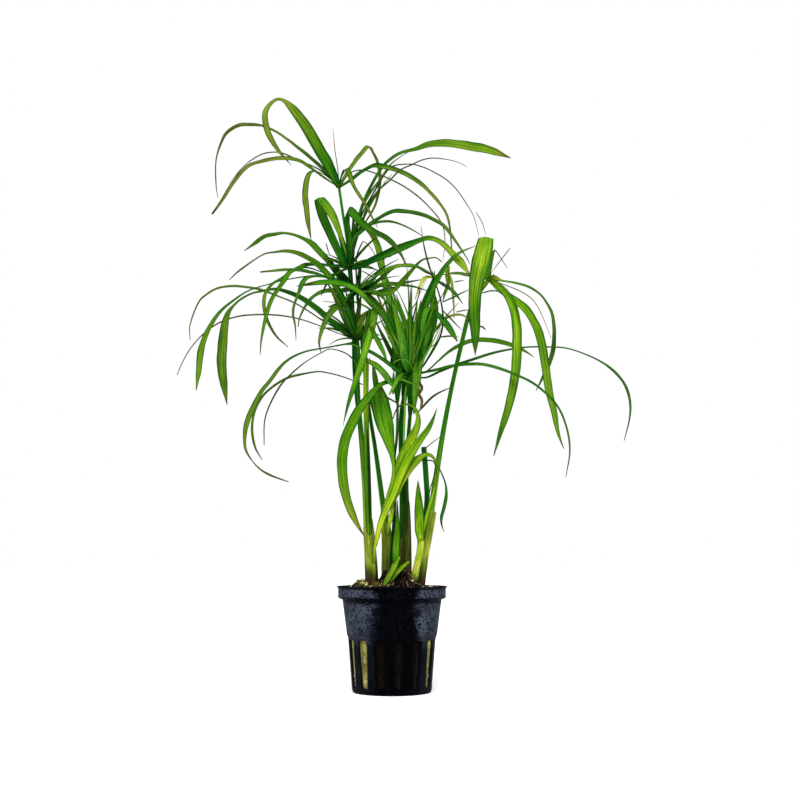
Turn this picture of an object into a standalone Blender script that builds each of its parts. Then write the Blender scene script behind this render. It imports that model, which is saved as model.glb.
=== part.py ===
"""A clump of umbrella sedge in a slotted net pot, in metres, +Z up, origin under the middle of the pot.

The stems and leaves are noted as they look from the front, on an upright sheet square to the line of
sight, and lay() carries each point along that line to its own depth.
"""

import math
from dataclasses import dataclass
from itertools import accumulate

import bmesh
import bpy
import numpy as np
from mathutils import Matrix, Vector, geometry, noise

MM = 0.001

# The pot, in millimetres.
POT_HEIGHT = 52.0
LIP_RADIUS = 27.5
LIP_DEPTH = 0.9
LIP_SLOPE = 0.4
BAND_RADIUS = 27.0
BAND_FOOT = 45.8
BAND_ROUNDING = 0.9
NECK_RADIUS = 24.8
NECK_TOP = 45.2
WAIST_RADIUS = 22.2
WAIST_STEP = 0.5
STEP_TOP = 27.8
STEP_FOOT = 26.8
FOOT_RADIUS = 19.8
FOOT_ROUNDING = 1.6
WALL = 1.2
FLOOR = 1.4
TURNS = 42
SLOTS = 14
SLOT_TOP = 26.0
SLOT_FOOT = 2.8
SLOT_WIDTH_TOP = 6.0
SLOT_WIDTH_FOOT = 4.2
SLOT_CUT_INNER = 15.8
SLOT_CUT_OUTER = 25.2
FIRST_SLOT = -41.4
FLOOR_SLOTS = 7
FLOOR_SLOT_INNER = 9.0
FLOOR_SLOT_OUTER = 16.0
FLOOR_SLOT_WIDTH = 3.0

# The plug of rock wool and soil.
GAP = 0.3
PLUG_SLACK = 0.1
PLUG_EDGE = 48.6
PLUG_TOP = 49.6
PLUG_RINGS = 4
PLUG_SIDES = 28
SOCKET_FLOOR = 38.0
SOCKET_TOP = 60.0
SOCKET_SIDES = 8
HEAPS = ((-14.0, -6.0, 5.2, 8.0), (-13.0, 8.0, 4.0, 8.0), (6.0, 0.0, 2.6, 10.0), (21.0, -6.0, 2.8, 6.0))
PLUG_ROUGHNESS = 0.9
PLUG_SEED = Vector((3.1, 7.7, 1.9))

# The front view: where it is seen from, how far it looks up, and the sheet's distance and middle.
VIEW_POINT = Vector((4.0, -600.0, 66.0))
LOOK_UP = math.radians(7.6)
SHEET_DISTANCE = 591.0
SHEET_MIDDLE = (4.0, 146.0)
FORWARD = Vector((0, math.cos(LOOK_UP), math.sin(LOOK_UP)))
UPWARD = Vector((0, -math.sin(LOOK_UP), math.cos(LOOK_UP)))
TO_VIEWER = Vector((0, -1, 0))

# Leaves and stems.
LEAF_THICKNESS = 0.5
LEAF_KEEL = 0.16
LEAF_PIECES = 12
FOLDED_PIECES = 14
TIP_WIDTH = 0.25
BASE_GAP = 2.6
EVENING = 3
STEM_PIECES = 12
STEM_TAPER_END = 0.625
CURVE_STEPS = 12
LEAF_SHAPE = (0.34, 0.8, 1.0, 0.97, 0.78, 0.45, 0.0)

GREEN = (0.045, 0.16, 0.012)
YOUNG_GREEN = (0.16, 0.32, 0.03)
STEM_GREEN = (0.03, 0.12, 0.02)
BLACK = (0.012, 0.015, 0.02)
WOOL = (0.12, 0.1, 0.03)


@dataclass
class Stem:
    """A culm: its thickness, how far its foot and its top lie behind the pot's axis, and its route."""

    foot_radius: float
    top_radius: float
    foot_depth: float
    top_depth: float
    route: list
    colour: tuple = STEM_GREEN


@dataclass
class Leaf:
    """A leaf: reach is how far its tip lies behind its base, and turn rolls its face up from the viewer.

    A folded leaf has a depth for each point of its route, and a hinge, the way that its width points.
    """

    width: float
    turn: float
    reach: float
    route: list
    shape: tuple = LEAF_SHAPE
    depths: tuple = ()
    hinge: tuple = ()
    colour: tuple = GREEN


STEMS = {
    "top_crown_stem": Stem(1.8, 0.75, 7, 22, [
        (-10, 54), (-12.5, 86), (-15.5, 126), (-19, 161), (-19.5, 193), (-21, 215), (-24.5, 238.5), (-26.5, 252)]),
    "upper_crown_stem": Stem(1.8, 0.9, 2, 3, [
        (-8.5, 54), (-10.5, 76), (-13.5, 116), (-16.5, 150), (-18.5, 176), (-20, 196), (-21.5, 212)]),
    "middle_crown_stem": Stem(2.2, 0.8, 0, -4, [
        (-3, 54), (-2.5, 76), (-5.5, 101), (-8.5, 122.5), (-11, 138.5), (-14, 162), (-15.5, 180), (-17.5, 201)]),
    "left_crown_stem": Stem(1.7, 0.9, -4, -9, [
        (-12.5, 54), (-12.5, 80), (-12.5, 98), (-13.5, 118), (-15, 136), (-16.5, 156), (-17.5, 176)]),
    "front_crown_stem": Stem(1.6, 1.3, -9, -14, [
        (-10.5, 54), (-11, 81), (-11.5, 100), (-12.5, 126), (-13, 146), (-12.5, 165)]),
    "fan_crown_stem": Stem(1.6, 1.2, 4, 0, [
        (4, 54), (5, 72), (5, 101), (4.5, 121), (5, 141), (9, 158.5)]),
    "inner_crown_stem": Stem(1.7, 0.7, -2, 8, [
        (8, 54), (7.5, 86), (7, 106), (8, 126), (11.5, 168.5), (12.5, 178.5), (15, 193.5), (21, 207)]),
    "right_crown_stem": Stem(2.1, 1.1, -1, -5, [
        (14, 54), (15.5, 66), (20, 93.5), (24, 121), (28.5, 146), (34, 171), (40, 193.5), (48.5, 206.5)]),
    "leaning_shoot": Stem(1.8, 1.5, -9.5, -15, [
        (-6, 54), (-8, 72), (-7.5, 81), (-4, 92), (-1, 101), (2.5, 108.5)], YOUNG_GREEN),
    "short_shoot": Stem(1.6, 1.3, -6, -8, [
        (9.5, 54), (10.5, 60), (12.5, 67), (14.4, 75), (14.2, 80)], YOUNG_GREEN),
    "cut_stem": Stem(1.4, 0.9, 7, 6, [
        (12, 54), (16, 80), (18, 96), (17.5, 106), (16.5, 122.5)]),
}

# Where the leaves spread from: across, up and depth.
CROWNS = {
    "top_crown": (-26.5, 252.5, 22),
    "upper_crown": (-21.5, 212, 3),
    "middle_crown": (-17.5, 201, -4),
    "left_crown": (-17.5, 176, -9),
    "front_crown": (-12.5, 164, -14),
    "fan_crown": (9, 158.5, 0),
    "inner_crown": (21, 207, 8),
    "right_crown": (48.5, 206.5, -5),
    "leaning_shoot": (2.5, 109, -15),
    "short_shoot": (14.2, 80, -8),
}

LEAVES = {
    "top_crown": [
        Leaf(5.0, 34, -20, [
            (-31, 262), (-37, 272.5), (-43.5, 283.5), (-50, 292), (-55.5, 296.5), (-60, 295), (-63.5, 289),
            (-62, 280), (-57, 271), (-50.5, 263.5)], shape=(0.4, 0.85, 0.95, 0.9, 0.7, 0.4, 0.55, 0.3, 0.0)),
        Leaf(3.4, 58, 28, [
            (-36, 263), (-46, 271.5), (-56, 279), (-64, 283), (-71, 284), (-77, 283.5), (-82, 280.5),
            (-85, 276), (-88, 266), (-88, 253.5), (-87, 247)]),
        Leaf(3.0, 48, -38, [
            (-33.5, 257), (-41, 262.5), (-47, 266), (-56, 267), (-65, 265.5), (-72, 263), (-78.5, 256),
            (-86, 244.5), (-90, 239)]),
        Leaf(2.6, 58, 40, [
            (-21, 262), (-16, 268.5), (-11.5, 273), (-8, 267.5), (-6.5, 262), (-6, 256), (-7, 248.5),
            (-9, 242), (-15, 232)]),
        Leaf(3.2, 55, -45, [
            (-21, 256), (-16, 260), (-11, 263), (-8, 263.5), (1.5, 261.5), (9, 258), (16.5, 252.5),
            (22.5, 246), (27, 239.5), (29, 232), (30, 220)]),
        Leaf(3.0, 60, -34, [
            (-25.5, 258), (-23.5, 261.5), (-21.5, 260), (-20, 255), (-17, 249.5), (-13, 243.5),
            (-10, 237.5), (-7, 232)]),
        Leaf(3.6, 45, -58, [
            (-33.5, 258.5), (-39.5, 260.5), (-42.5, 257), (-43.5, 248.5), (-43, 243.5), (-42, 235),
            (-40.5, 226)]),
    ],
    "upper_crown": [
        Leaf(4.2, 0, 0, [
            (-23, 214), (-28.5, 226), (-33.5, 237), (-36.5, 246), (-35, 245), (-30.5, 238), (-27, 229),
            (-23, 217.5)], depths=(1, -1, -4, -8, -13, -17, -20, -22), hinge=(0.9, 0, 0.42),
            shape=(0.4, 0.8, 0.95, 1.0, 0.9, 0.5, 0.0)),
        Leaf(3.4, 35, -45, [
            (-21.5, 226), (-22.5, 235), (-22, 241), (-19, 239), (-15, 234.5), (-9.5, 230.5), (-3.5, 227.5),
            (1.5, 223), (5, 218), (7, 213)]),
        Leaf(4.8, 36, -34, [
            (-17, 212.5), (-12, 215), (-7, 217.5), (-1, 220), (6.5, 223), (14, 226), (19, 227), (25, 224.5),
            (32.5, 217), (39, 208.5)]),
        Leaf(3.2, 55, -56, [
            (-28.5, 213), (-36, 214), (-42, 214), (-46, 212.5), (-51, 210), (-54.5, 205), (-61, 194.5),
            (-65, 178.5), (-66, 168.5)]),
        Leaf(3.6, 40, -16, [
            (-31, 208.5), (-41, 208), (-48.5, 207), (-56, 205.5), (-65, 203), (-71, 201), (-77, 197.5),
            (-87, 189), (-94.5, 175), (-97, 158.5), (-98, 150.5)], shape=(0.3, 0.5, 0.8, 1.0, 1.0, 0.6, 0.0)),
        Leaf(3.0, 60, -75, [
            (-19.5, 226), (-16, 230), (-11, 234), (-4.5, 238.5), (1.5, 240.7), (9, 240.2), (16.5, 238.5),
            (22.5, 235.5), (27.5, 231.5), (36.5, 218.5), (39, 214)]),
        Leaf(4.8, 30, 22, [
            (-19, 228.5), (-16.5, 238.5), (-13.5, 247), (-9.5, 255), (-6, 261), (-2, 265.5), (4, 269.5),
            (11.5, 271.5), (19, 274), (29, 274.5), (39, 273), (49, 271), (59.5, 267)],
            shape=(0.3, 0.36, 0.45, 0.55, 0.8, 1.0, 0.85, 0.0)),
        Leaf(2.4, 60, 72, [
            (-17.5, 233.5), (-14.5, 243.5), (-10, 251), (-5.5, 257), (-1, 263.5), (4, 267.5), (9, 270.5)]),
    ],
    "middle_crown": [
        Leaf(3.4, 50, 34, [
            (-22.5, 203), (-27, 209), (-31, 214.5), (-36, 220), (-41, 225), (-47, 228), (-53.5, 229.5),
            (-58.5, 229), (-63.5, 228), (-68.5, 224.5), (-74, 220.5)]),
        Leaf(3.6, 45, -74, [
            (-12, 205), (-6, 210), (0, 212.5), (6.5, 213.5), (13, 212.5), (19, 209.5)]),
        Leaf(3.0, 50, 66, [
            (-11, 201.5), (-2, 204.5), (4, 204.5), (10.5, 205.5), (16.5, 206.5)]),
        Leaf(3.2, 50, -62, [
            (-26, 205.5), (-33.5, 207.5), (-41, 208), (-44.5, 205), (-46.5, 200), (-49, 193.5),
            (-49.5, 188.5), (-48.5, 183.5), (-48, 176)]),
    ],
    "left_crown": [
        Leaf(3.2, 52, -18, [
            (-18.5, 180), (-21, 188.5), (-25, 197.5), (-30, 206), (-35, 212), (-40, 216), (-46, 219),
            (-52, 220.5), (-58.5, 220), (-65, 218.5), (-76, 211), (-81.5, 206)]),
        Leaf(4.8, 24, -18, [
            (-23.5, 180), (-31, 186), (-38.5, 192.5), (-46, 197.5), (-53.5, 200.5), (-59, 201.5),
            (-65, 200.5), (-71, 199), (-78, 194.5), (-83, 187), (-85, 171), (-85, 161), (-82.5, 143.5)],
            shape=(0.35, 0.5, 0.55, 0.55, 0.75, 1.0, 1.0, 0.0)),
        Leaf(2.4, 50, 30, [
            (-26, 181), (-33.5, 185), (-41, 190), (-48.5, 194.5), (-57, 198), (-65, 201), (-72.5, 202.5),
            (-80, 203), (-87, 202), (-92.5, 199), (-97, 194.5), (-101, 183.5), (-101, 176)]),
        Leaf(1.8, 40, 50, [
            (-28.5, 180), (-37, 183.5), (-46, 186.5), (-53.5, 188), (-61, 188.7), (-68.5, 188.7),
            (-76, 188), (-83.5, 186), (-90, 182.5), (-96, 177.5), (-101, 171.5), (-105, 164.5), (-107.5, 158.5)]),
        Leaf(3.4, 45, -66, [
            (-21, 181), (-26, 186), (-29.5, 188.5), (-33.5, 185), (-35.5, 180), (-36.5, 174.5), (-35.5, 169.5)]),
        Leaf(3.0, 45, -40, [
            (-21, 174.5), (-31.5, 172.5), (-44, 170), (-53.5, 165), (-61.2, 155.5), (-66.5, 148.5),
            (-72, 136.5), (-73.7, 127), (-72.7, 120), (-67.5, 112.7), (-61.2, 108.5), (-51.7, 105)],
            shape=(0.5, 0.9, 1.0, 1.0, 0.8, 0.5, 0.25)),
        Leaf(2.8, 50, 40, [
            (-20.5, 158), (-31.5, 159.5), (-37.5, 160.2), (-47, 158.5), (-53.5, 156.5), (-61.2, 151.5),
            (-65.7, 146.5), (-69, 139.5), (-70, 131.2), (-68.5, 122.5), (-65, 116)]),
    ],
    "front_crown": [
        Leaf(4.6, 0, 0, [
            (-14, 172), (-13.5, 182), (-12, 189), (-10.5, 190.5), (-10.8, 184), (-13.5, 172), (-17, 162),
            (-20, 153.5), (-23, 143.5), (-25, 133)], depths=(-14, -15, -17, -21, -25, -28, -30, -32, -33, -34),
            hinge=(0.95, 0, 0.3), shape=(0.5, 0.8, 1.0, 1.0, 0.9, 0.6, 0.0)),
    ],
    "fan_crown": [
        Leaf(3.4, 40, -16, [
            (5, 165), (2, 173.5), (-1, 182), (-3.5, 187), (-6, 190.5), (-10, 194), (-15, 199),
            (-20, 202.5), (-26, 204.5), (-33.5, 205), (-41, 204), (-47.5, 203)],
            depths=(-3, -7, -11, -14, -17, -21, -26, -30, -34, -38, -41, -44)),
        Leaf(3.6, 35, 34, [
            (6.5, 163.5), (3.5, 178.5), (0.5, 191), (-2.5, 201), (-4.5, 210), (-6.5, 221), (-9.5, 228),
            (-13, 232.5)]),
        Leaf(5.2, 25, -60, [(6.5, 166), (5.5, 173), (4, 181), (1.5, 190), (-0.5, 197)]),
        Leaf(3.0, 40, -32, [
            (12, 163.5), (13, 176), (14.5, 191), (18, 201), (22.5, 209.5), (27.5, 216), (34, 221), (41.5, 223)]),
        Leaf(4.0, 0, 0, [
            (14, 164), (16.5, 173.5), (19, 183.5), (20, 190.5), (17.5, 191.5), (15.8, 186), (14.2, 173.5)],
            depths=(-4, -8, -13, -18, -22, -25, -28), hinge=(0.96, 0, -0.2), shape=(0.5, 0.8, 1.0, 1.0, 0.7, 0.0)),
        Leaf(3.4, 50, 40, [
            (16.5, 160), (22.5, 165), (27.5, 169.5), (33, 173), (39, 175.5), (45, 176.2), (52.5, 175.5),
            (60, 173.5), (66.5, 170.5), (71, 167.5)], shape=(0.4, 0.4, 0.6, 0.9, 1.0, 0.9, 0.0)),
        Leaf(2.6, 50, 24, [
            (16.5, 156.5), (24, 159.5), (31.5, 163), (39, 165.5), (48.5, 169), (58, 171.2), (67.5, 172.5),
            (77.2, 172.6), (87, 172), (96.5, 169), (106.5, 164), (114.2, 157), (118, 150), (119.2, 142.5),
            (118.5, 135), (116, 125.5)]),
        Leaf(2.6, 50, -55, [
            (21.5, 161), (29, 163), (39, 164), (47.5, 163.5), (60, 159.5), (72, 153.5), (82, 144),
            (87, 133.5), (89, 121), (87, 107.5)]),
        Leaf(4.4, 20, -30, [
            (4, 156.5), (-1, 155.5), (-6, 153.5), (-11, 148.5), (-16, 142), (-20, 134.5), (-23.5, 126),
            (-25, 116), (-24.5, 106), (-22.5, 96), (-18.5, 86), (-14, 78)],
            depths=(-7, -12, -17, -22, -26, -28, -29, -29, -28, -26, -24, -22)),
    ],
    "inner_crown": [
        Leaf(3.0, 45, -56, [(22.5, 206), (26.5, 203.5), (30, 201), (33, 197.5), (35.5, 194)]),
    ],
    "right_crown": [
        Leaf(6.0, 0, 0, [
            (48.5, 211), (49.2, 221), (48, 226.5), (45, 226), (43, 221), (41.5, 212), (40.5, 203.5),
            (40.5, 193.5), (41, 183.5), (41.5, 175), (41.5, 168)],
            depths=(-5, -8, -13, -19, -24, -27, -29, -30, -31, -32, -32), hinge=(0.97, 0, 0.12),
            shape=(0.35, 0.6, 0.8, 1.0, 1.0, 0.95, 0.9, 0.7, 0.0)),
        Leaf(3.0, 55, 42, [
            (53, 206), (61.3, 204.7), (67.5, 203), (73.5, 199.5), (77.2, 195), (80, 189.5), (81, 183),
            (81, 176.5), (80, 168.5), (76.5, 159.5), (72, 150.5)]),
        Leaf(4.6, 28, -34, [
            (52.5, 204), (57.5, 198.5), (60.5, 192.5), (62, 185), (62.5, 178.5), (62, 162.5), (60, 150),
            (57.5, 140), (54.3, 130), (50.8, 118)]),
        Leaf(4.2, 28, 10, [
            (53.5, 201.5), (60, 197), (66.5, 192), (71.5, 184.5), (74.5, 176), (76.5, 165), (78.5, 151),
            (81, 140.5), (83, 130), (86, 121.5)]),
        Leaf(3.2, 40, 60, [(44, 207.5), (39, 208.5), (31.5, 209.5), (24, 208.5)]),
    ],
    "leaning_shoot": [
        Leaf(3.4, 20, -12, [
            (4.5, 113), (9, 120), (13, 126), (16, 130), (19, 134), (21, 138), (22.5, 142)],
            colour=YOUNG_GREEN),
        Leaf(4.0, 15, 6, [
            (4, 114), (5.5, 118.5), (10, 128), (13.3, 134), (12.5, 139), (9, 142.5), (4, 143),
            (1.8, 141), (0, 137)], shape=(0.6, 1.0, 0.95, 0.5, 0.3, 0.0), colour=YOUNG_GREEN),
        Leaf(2.8, 25, -14, [
            (7.5, 112.5), (11.5, 116.5), (16, 119), (19.5, 118.5), (22, 115), (24.5, 112.5), (27, 106),
            (27.2, 98.5), (26, 92), (24.7, 87), (25, 83), (26.2, 80)],
            shape=(0.8, 1.0, 0.9, 0.5, 0.45, 0.4, 0.0), colour=YOUNG_GREEN),
        Leaf(6.0, 10, 14, [
            (1.5, 113.5), (-0.5, 121), (-3, 127.5), (-5.5, 136), (-7.5, 145), (-9, 152)],
            shape=(0.45, 0.7, 1.0, 0.8, 0.0), colour=YOUNG_GREEN),
    ],
    "short_shoot": [
        Leaf(3.4, 10, -3, [(13.6, 84), (13, 90), (13, 96), (13, 106)],
             shape=(0.5, 1.0, 0.9, 0.6, 0.0), colour=YOUNG_GREEN),
    ],
}


def clear_scene():
    for obj in list(bpy.data.objects):
        bpy.data.objects.remove(obj, do_unlink=True)


def material(name, colour, roughness):
    finish = bpy.data.materials.new(name)
    finish.use_nodes = True
    shader = finish.node_tree.nodes["Principled BSDF"]
    shader.inputs["Base Color"].default_value = (*colour, 1)
    shader.inputs["Roughness"].default_value = roughness
    shader.inputs["Metallic"].default_value = 0
    return finish


def add_object(name, data, colour, roughness):
    obj = bpy.data.objects.new(name, data)
    data.materials.append(material(name, colour, roughness))
    bpy.context.collection.objects.link(obj)
    return obj


def mesh_object(name, bm, colour, roughness, smooth_angle=35):
    """Turns a bmesh in millimetres into an object in metres."""
    bmesh.ops.recalc_face_normals(bm, faces=bm.faces)
    bmesh.ops.scale(bm, vec=(MM, MM, MM), verts=bm.verts)
    mesh = bpy.data.meshes.new(name)
    bm.to_mesh(mesh)
    bm.free()
    mesh.shade_smooth()
    mesh.set_sharp_from_angle(angle=math.radians(smooth_angle))
    return add_object(name, mesh, colour, roughness)


def cut(obj, cutter):
    cutter.hide_render = True
    cutter.display_type = "WIRE"
    boolean = obj.modifiers.new("cut", "BOOLEAN")
    boolean.operation = "DIFFERENCE"
    boolean.solver = "EXACT"
    boolean.object = cutter


def lay(across, up, depth):
    """The point seen at (across, up) on the front sheet, this far behind the pot's axis."""
    ray = FORWARD * SHEET_DISTANCE + UPWARD * (up - SHEET_MIDDLE[1])
    ray.x = across - SHEET_MIDDLE[0]
    return VIEW_POINT + ray * ((depth - VIEW_POINT.y) / ray.y)


def smooth_curve(points):
    """Close points of a smooth curve through the given ones."""
    row = [2 * points[0] - points[1], *points, 2 * points[-1] - points[-2]]
    curve = []
    for before, start, end, after in zip(row, row[1:], row[2:], row[3:]):
        leaving = start + (end - before) / 6
        arriving = end - (after - start) / 6
        curve += geometry.interpolate_bezier(start, leaving, arriving, end, CURVE_STEPS)[:-1]
    return [*curve, points[-1]]


def spaced(curve, count):
    """This many evenly spaced points of a curve."""
    steps = [(b - a).length for a, b in zip(curve, curve[1:])]
    along = list(accumulate(steps, initial=0))
    wanted = np.linspace(0, along[-1], count)
    columns = [np.interp(wanted, along, [point[axis] for point in curve]) for axis in range(3)]
    return [Vector(point) for point in zip(*columns)]


def pot_profile():
    """The pot's wall as (radius, height), down the outside and up the inside."""
    outside = [
        (LIP_RADIUS, POT_HEIGHT),
        (LIP_RADIUS, POT_HEIGHT - LIP_DEPTH),
        (BAND_RADIUS, POT_HEIGHT - LIP_DEPTH - LIP_SLOPE),
        (BAND_RADIUS, BAND_FOOT + BAND_ROUNDING),
        (BAND_RADIUS - BAND_ROUNDING, BAND_FOOT),
        (NECK_RADIUS, NECK_TOP),
        (WAIST_RADIUS + WAIST_STEP / 2, STEP_TOP),
        (WAIST_RADIUS - WAIST_STEP / 2, STEP_FOOT),
        (FOOT_RADIUS, SLOT_FOOT),
        (FOOT_RADIUS - FOOT_ROUNDING / 4, FOOT_ROUNDING / 2),
        (FOOT_RADIUS - FOOT_ROUNDING, 0),
        (0, 0),
    ]
    inside = [
        (0, FLOOR),
        (FOOT_RADIUS - FOOT_ROUNDING - GAP, FLOOR),
        (FOOT_RADIUS - WALL, FLOOR + FOOT_ROUNDING),
        (WAIST_RADIUS - WALL, STEP_FOOT),
        (NECK_RADIUS - WALL, NECK_TOP),
        (BAND_RADIUS - WALL, BAND_FOOT + WALL),
        (BAND_RADIUS - WALL, POT_HEIGHT),
    ]
    return outside + inside


def slot_cutter():
    """One wedge for each slot of the wall, narrower at its foot, and one bar for each slot of the floor."""
    bm = bmesh.new()
    for number in range(SLOTS):
        made = bmesh.ops.create_cube(bm, size=1)["verts"]
        for vert in made:
            width = SLOT_WIDTH_TOP if vert.co.z > 0 else SLOT_WIDTH_FOOT
            height = SLOT_TOP if vert.co.z > 0 else SLOT_FOOT
            radius = SLOT_CUT_INNER if vert.co.y > 0 else SLOT_CUT_OUTER
            vert.co = (vert.co.x * width, -radius, height)
        angle = math.radians(FIRST_SLOT + number * 360 / SLOTS)
        bmesh.ops.rotate(bm, verts=made, matrix=Matrix.Rotation(angle, 3, "Z"))
    for number in range(FLOOR_SLOTS):
        made = bmesh.ops.create_cube(bm, size=1)["verts"]
        for vert in made:
            radius = FLOOR_SLOT_INNER if vert.co.y > 0 else FLOOR_SLOT_OUTER
            vert.co = (vert.co.x * FLOOR_SLOT_WIDTH, -radius, FLOOR / 2 + vert.co.z * FLOOR * 3)
        angle = math.radians(FIRST_SLOT + (2 * number + 1) * 180 / FLOOR_SLOTS)
        bmesh.ops.rotate(bm, verts=made, matrix=Matrix.Rotation(angle, 3, "Z"))
    return mesh_object("slot_cutter", bm, BLACK, 0.5)


def net_pot():
    bm = bmesh.new()
    ring = [bm.verts.new((radius, 0, height)) for radius, height in pot_profile()]
    edges = [bm.edges.new(pair) for pair in zip(ring, ring[1:] + ring[:1]) if pair[0].co.x or pair[1].co.x]
    bmesh.ops.spin(bm, geom=ring + edges, axis=(0, 0, 1), cent=(0, 0, 0), angle=math.tau, steps=TURNS,
                   use_merge=True)
    bmesh.ops.remove_doubles(bm, verts=bm.verts, dist=0.001)
    pot = mesh_object("net_pot", bm, BLACK, 0.35)
    cut(pot, slot_cutter())


def plug_height(point):
    """The bumpy top of the plug: low heaps, and small lumps of seeded noise."""
    height = PLUG_TOP + PLUG_ROUGHNESS * noise.noise(point / 4 + PLUG_SEED)
    for across, deep, rise, spread in HEAPS:
        away = math.hypot(point.x - across, point.y - deep)
        height += rise * math.exp(-((away / spread) ** 2))
    return height


def plug():
    """Rock wool and soil: it fills the pot, and has a socket for the foot of each stem."""
    bm = bmesh.new()
    inset = WALL + GAP + PLUG_SLACK
    levels = (
        (FOOT_RADIUS - FOOT_ROUNDING - inset + WALL, FLOOR + GAP),
        (FOOT_RADIUS - inset, FLOOR + FOOT_ROUNDING + GAP),
        (WAIST_RADIUS - inset, STEP_FOOT),
        (NECK_RADIUS - inset, NECK_TOP),
        (NECK_RADIUS - inset, PLUG_EDGE),
    )
    bmesh.ops.create_circle(bm, cap_ends=True, segments=PLUG_SIDES, radius=levels[0][0])
    bmesh.ops.translate(bm, verts=bm.verts, vec=(0, 0, levels[0][1]))
    top = bm.faces[:][0]
    for radius, height in levels[1:]:
        top = bmesh.ops.extrude_discrete_faces(bm, faces=[top])["faces"][0]
        for vert in top.verts:
            vert.co = vert.co.xy.normalized().to_3d() * radius
            vert.co.z = height
    bmesh.ops.holes_fill(bm, edges=bm.edges)
    for _ in range(PLUG_RINGS - 1):
        bmesh.ops.inset_region(bm, faces=[top], thickness=levels[-1][0] / PLUG_RINGS)
    bmesh.ops.poke(bm, faces=[top])
    for vert in bm.verts:
        if vert.co.z > PLUG_EDGE - GAP and vert.co.xy.length < levels[-1][0] - GAP:
            vert.co.z = plug_height(vert.co)
    body = mesh_object("rock_wool_plug", bm, WOOL, 0.95)
    cut(body, sockets())


def sockets():
    """A round hole in the plug for each stem's foot."""
    bm = bmesh.new()
    for stem in STEMS.values():
        foot = lay(*stem.route[0], stem.foot_depth)
        radius = (stem.foot_radius + GAP) / math.cos(math.pi / SOCKET_SIDES)
        made = bmesh.ops.create_cone(bm, cap_ends=True, segments=SOCKET_SIDES, radius1=radius,
                                     radius2=radius, depth=SOCKET_TOP - SOCKET_FLOOR)["verts"]
        bmesh.ops.translate(bm, verts=made, vec=(foot.x, foot.y, (SOCKET_FLOOR + SOCKET_TOP) / 2))
    return mesh_object("socket_cutter", bm, WOOL, 0.95)


def stem_route(stem):
    """From the foot in its socket, straight up out of the plug, and on to the crown."""
    spread = [
        stem.foot_depth + (stem.top_depth - stem.foot_depth) * step / (len(stem.route) - 1)
        for step in range(len(stem.route))
    ]
    points = [lay(*seen, depth) for seen, depth in zip(stem.route, spread)]
    foot = points[0].copy()
    foot.z = SOCKET_FLOOR + GAP
    return [foot, *spaced(smooth_curve(points), STEM_PIECES)]


def stem_object(name, stem):
    points = stem_route(stem)
    curve = bpy.data.curves.new(name, "CURVE")
    curve.dimensions = "3D"
    curve.bevel_depth = MM
    curve.bevel_resolution = 1
    curve.use_fill_caps = True
    spline = curve.splines.new("POLY")
    spline.points.add(len(points) - 1)
    for number, (place, point) in enumerate(zip(points, spline.points)):
        share = max(0, number - 1) / (len(points) - 2)
        point.co = (*(place * MM), 1)
        taper = min(1, share / STEM_TAPER_END)
        point.radius = stem.foot_radius + (stem.top_radius - stem.foot_radius) * taper
    spline.use_smooth = True
    return add_object(name, curve, stem.colour, 0.45)


def leaf_points(leaf, crown):
    """The leaf's middle line, from beside the stem out to the tip."""
    if leaf.depths:
        points = [lay(*seen, depth) for seen, depth in zip(leaf.route, leaf.depths)]
        return spaced(smooth_curve(points), FOLDED_PIECES + 1)
    flat = [Vector((*seen, 0)) for seen in [crown[:2], *leaf.route]]
    along = list(accumulate(((b - a).length for a, b in zip(flat, flat[1:])), initial=0))
    depths = [crown[2] + leaf.reach * math.sin(math.pi / 2 * length / along[-1]) for length in along]
    curve = smooth_curve([lay(*seen.xy, depth) for seen, depth in zip(flat, depths)])
    return spaced([point for point in curve if (point - curve[0]).length > BASE_GAP], LEAF_PIECES + 1)


def square_to(tangent, way):
    return (way - tangent * way.dot(tangent)).normalized()


def width_direction(leaf, tangent, side):
    """The way that the leaf's width points: along its hinge, or across the view and rolled by its turn."""
    if leaf.hinge:
        return square_to(tangent, Vector(leaf.hinge))
    face = square_to(tangent, TO_VIEWER)
    turn = math.radians(leaf.turn) * side
    return tangent.cross(face) * math.cos(turn) - face * math.sin(turn)


def stations(leaf, points):
    """Each point with the way of the width and of the upper face there, evened out along the leaf."""
    side = 1 if points[-1].x < points[0].x else -1
    ahead = [*points[1:], points[-1]]
    behind = [points[0], *points[:-1]]
    tangents = [(b - a).normalized() for a, b in zip(behind, ahead)]
    ways = [width_direction(leaf, tangent, side) for tangent in tangents]
    for _ in range(EVENING):
        sums = [a + 2 * b + c for a, b, c in zip([ways[0], *ways], ways, [*ways[1:], ways[-1]])]
        ways = [square_to(tangent, total) for tangent, total in zip(tangents, sums)]
    return [(point, way, way.cross(tangent)) for point, way, tangent in zip(points, ways, tangents)]


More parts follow.
